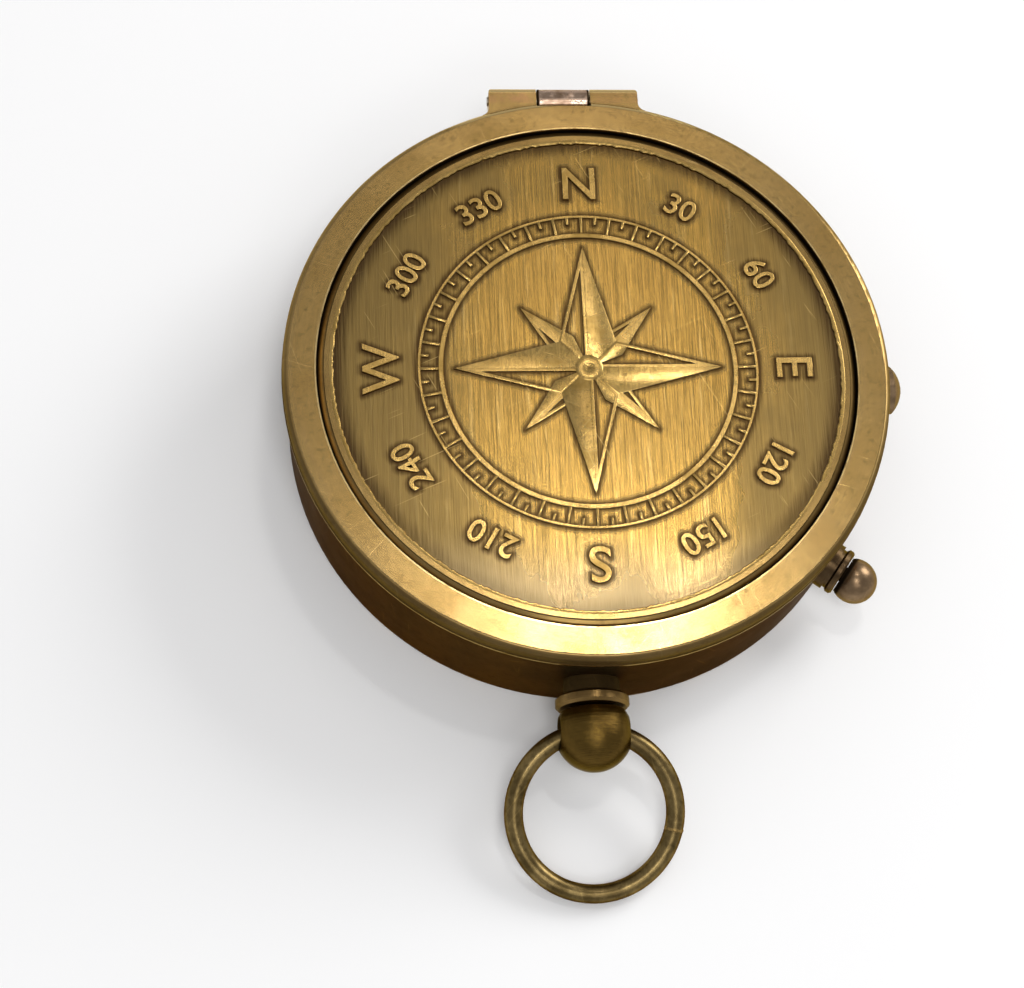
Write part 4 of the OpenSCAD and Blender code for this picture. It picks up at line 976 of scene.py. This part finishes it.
dialFace = {
    "z": 9.4, "sunk": 0.01, "ink": 0.015, "starLong": 19.5, "starShort": 13.0, "shoulderLong": 4.8,
    "shoulderShort": 4.4, "stroke": 0.16, "shortDrop": 0, "bevel": 0.004,
    "rings": ((20.2, 0.18), (20.8, 0.35), (28.4, 0.2)),  # inner radius and width of each line
    "letterAt": 24.6, "mainSize": 5.6, "betweenSize": 3.6,
}
degreeScale = {
    "z": 10.6, "sunk": 0.01, "ink": 0.015, "bevel": 0.004, "inner": 30.0,
    "fine": (2, 5, 0.9, 0.1), "tens": (10, None, 1.5, 0.16),  # every, skip, length, width
    "numberAt": 33.0, "numberSize": 1.75, "screws": (30, 150, 270), "screwRoom": 4,
}


def dialPrint(face):
    low, high = face["z"] - face["sunk"], face["z"] + face["ink"]
    pieces = compassStar(face, low, high)
    for radius, wide in face["rings"]:
        pieces.append(turnedRing("printRing", [
            (radius, low), (radius + wide, low), (radius + wide, high), (radius, high)]))
    for i, text in enumerate(("N", "NE", "E", "SE", "S", "SW", "W", "NW")):
        size = face["betweenSize"] if i % 2 else face["mainSize"]
        pieces.append(figure(text, size, face["letterAt"], 45 * i, low, high))
    return joined("dialPrint", pieces)


def ringMarks(scale):
    low, high = scale["z"] - scale["sunk"], scale["z"] + scale["ink"]
    pieces = []
    for every, skip, length, wide in (scale["fine"], scale["tens"]):
        outer = scale["inner"] + length
        pieces += dialMarks(every, skip, scale["inner"], outer, wide, low, high, scale["bevel"])
    for degrees in range(0, 360, 10):
        # a number gives way to a screw
        if min(abs((degrees - screw + 180) % 360 - 180) for screw in scale["screws"]) >= scale["screwRoom"]:
            pieces.append(figure(str(degrees), scale["numberSize"], scale["numberAt"], degrees, low, high))
    return joined("ringMarks", pieces)


inkLook = {"colour": "#1b1a1c", "shift": "#2a2624", "roughness": (0.45, 0.55), "cloud": 0.7}
printInk = plainCoat("printInk", inkLook)
dressPiece(dialPrint(dialFace), printInk, "case")
dressPiece(ringMarks(degreeScale), printInk, "case")
print("dial printed")


# Brazed joint on the bow ring

bowJoint = {
    "pivot": (-0.6, -43.4, 8.2), "tilt": 21.33, "reach": 9.5, "radius": 9.8, "wire": 1.15,
    "at": -13, "long": 0.5, "proud": 0.05, "crown": 0.06,
    "dimples": ((0.012, 5, 0), (0.01, 9, 1)),  # share of the radius, count round it and start
}
jointLook = {**bowLook, "metal": "#c9a968", "film": "#6a5330", "fleck": 0.6}


def brazedJoint(size):
    clearSelection()
    radius = size["wire"] + size["proud"]
    bpy.ops.mesh.primitive_cylinder_add(
        vertices=32, radius=radius * mm, depth=size["long"] * mm, end_fill_type="NGON")
    piece = bpy.context.object
    bpy.ops.object.mode_set(mode="EDIT")
    bpy.ops.mesh.select_all(action="SELECT")
    bpy.ops.mesh.subdivide(number_cuts=2)
    bpy.ops.object.mode_set(mode="OBJECT")
    for vertex in piece.data.vertices:
        out = Vector((vertex.co.x, vertex.co.y))
        if out.length > 0.9 * size["wire"] * mm:
            along = abs(vertex.co.z) / (size["long"] / 2 * mm)
            turn = math.atan2(vertex.co.y, vertex.co.x)
            swell = 1 - size["crown"] * along ** 2
            for depth, count, start in size["dimples"]:
                swell += depth * math.sin(count * turn + start)
            vertex.co.x *= swell
            vertex.co.y *= swell
    angle = math.radians(size["at"])
    tilt = Matrix.Rotation(math.radians(size["tilt"]), 4, "X")
    middle = Vector((0, -size["reach"], 0))
    spot = middle + Vector((size["radius"] * math.cos(angle), size["radius"] * math.sin(angle), 0))
    lay = Matrix.Rotation(angle, 4, "Z") @ Matrix.Rotation(math.radians(90), 4, "X")
    piece.matrix_world = (Matrix.Translation(Vector(size["pivot"]) * mm) @ tilt
                          @ Matrix.Translation(spot * mm) @ lay)
    return settled("bowJoint", piece)


dressPiece(brazedJoint(bowJoint), agedBrass("brazedBrass", jointLook), "bow", 60)
print("bow joint brazed")


# Floor, light and background

studio = {
    "floorSize": 6000, "floor": "#f7f7f7", "floorRoughness": 0.8, "floorShine": 0.1,
    "zenith": "#c4c4c6", "horizon": "#dadada", "rise": (0.25, 0.8), "strength": 0.85,
}
# each lamp's place, aim, width, depth, power in watts and colour: the first five light patches of the lid
lamps = {
    "frontSoftbox": ((78, 168, 620), (0, -37, 19), 130, 92, 0.115, "#fffaf4"),
    "frontCore": ((80, 142, 615), (0, -37, 19), 70, 28, 0.22, "#ffffff"),
    "backSpot": ((80, 292, 620), (0, 12, 19), 60, 85, 0.045, "#fff3df"),
    "rightSpot": ((128, 238, 620), (15, -7, 19), 60, 50, 0.01, "#fff3df"),
    "backGlow": ((72, 388, 620), (0, 37, 19), 120, 40, 0.03, "#fff3df"),
    "rightKey": ((700, 480, 470), (0, 0, 0), 500, 500, 5.5, "#ffffff"),
    "overhead": ((10, -240, 660), (0, -40, 8), 170, 170, 0.9, "#ffffff"),
    "bevelLight": ((70, -570, 640), (0, -33, 18), 320, 180, 0.5, "#ffffff"),
}


def plainFloor(size):
    clearSelection()
    bpy.ops.mesh.primitive_plane_add(size=size["floorSize"] * mm)
    floor = settled("floor", bpy.context.object)
    material, tree, shader = startMaterial("palePaper")
    setInputs(tree, shader, {
        "Base Color": toLinear(size["floor"]), "Roughness": size["floorRoughness"],
        "Specular IOR Level": size["floorShine"]})
    floor.data.materials.append(material)


def skyLight(size):
    world = bpy.data.worlds.new("studioWorld")
    bpy.context.scene.world = world
    world.use_nodes = True
    tree = world.node_tree
    tree.nodes.clear()
    direction = addNode(tree, "ShaderNodeTexCoord")
    height = addNode(tree, "ShaderNodeSeparateXYZ", inputs={"Vector": direction.outputs["Generated"]})
    low, high = size["rise"]
    rise = addNode(tree, "ShaderNodeMapRange", smooth, {
        "Value": height.outputs["Z"], "From Min": low, "From Max": high})
    background = addNode(tree, "ShaderNodeBackground", inputs={
        "Color": painted(tree, size["horizon"], (rise.outputs[0], size["zenith"])),
        "Strength": size["strength"]})
    addNode(tree, "ShaderNodeOutputWorld", inputs={"Surface": background.outputs[0]})


def softbox(name, place, target, width, depth, power, hexText):
    clearSelection()
    bpy.ops.object.light_add(type="AREA")
    lamp = bpy.context.object
    lamp.name = name
    lamp.data.shape = "RECTANGLE"
    lamp.data.size = width * mm
    lamp.data.size_y = depth * mm
    lamp.data.energy = power
    lamp.data.color = toLinear(hexText)[:3]
    lamp.location = Vector(place) * mm
    aim = (Vector(target) - Vector(place)).to_track_quat("-Z", "Y")
    lamp.rotation_euler = aim.to_euler()


plainFloor(studio)
skyLight(studio)
for name, values in lamps.items():
    softbox(name, *values)
print("studio lit")

bpy.context.scene.view_settings.view_transform = "Standard"
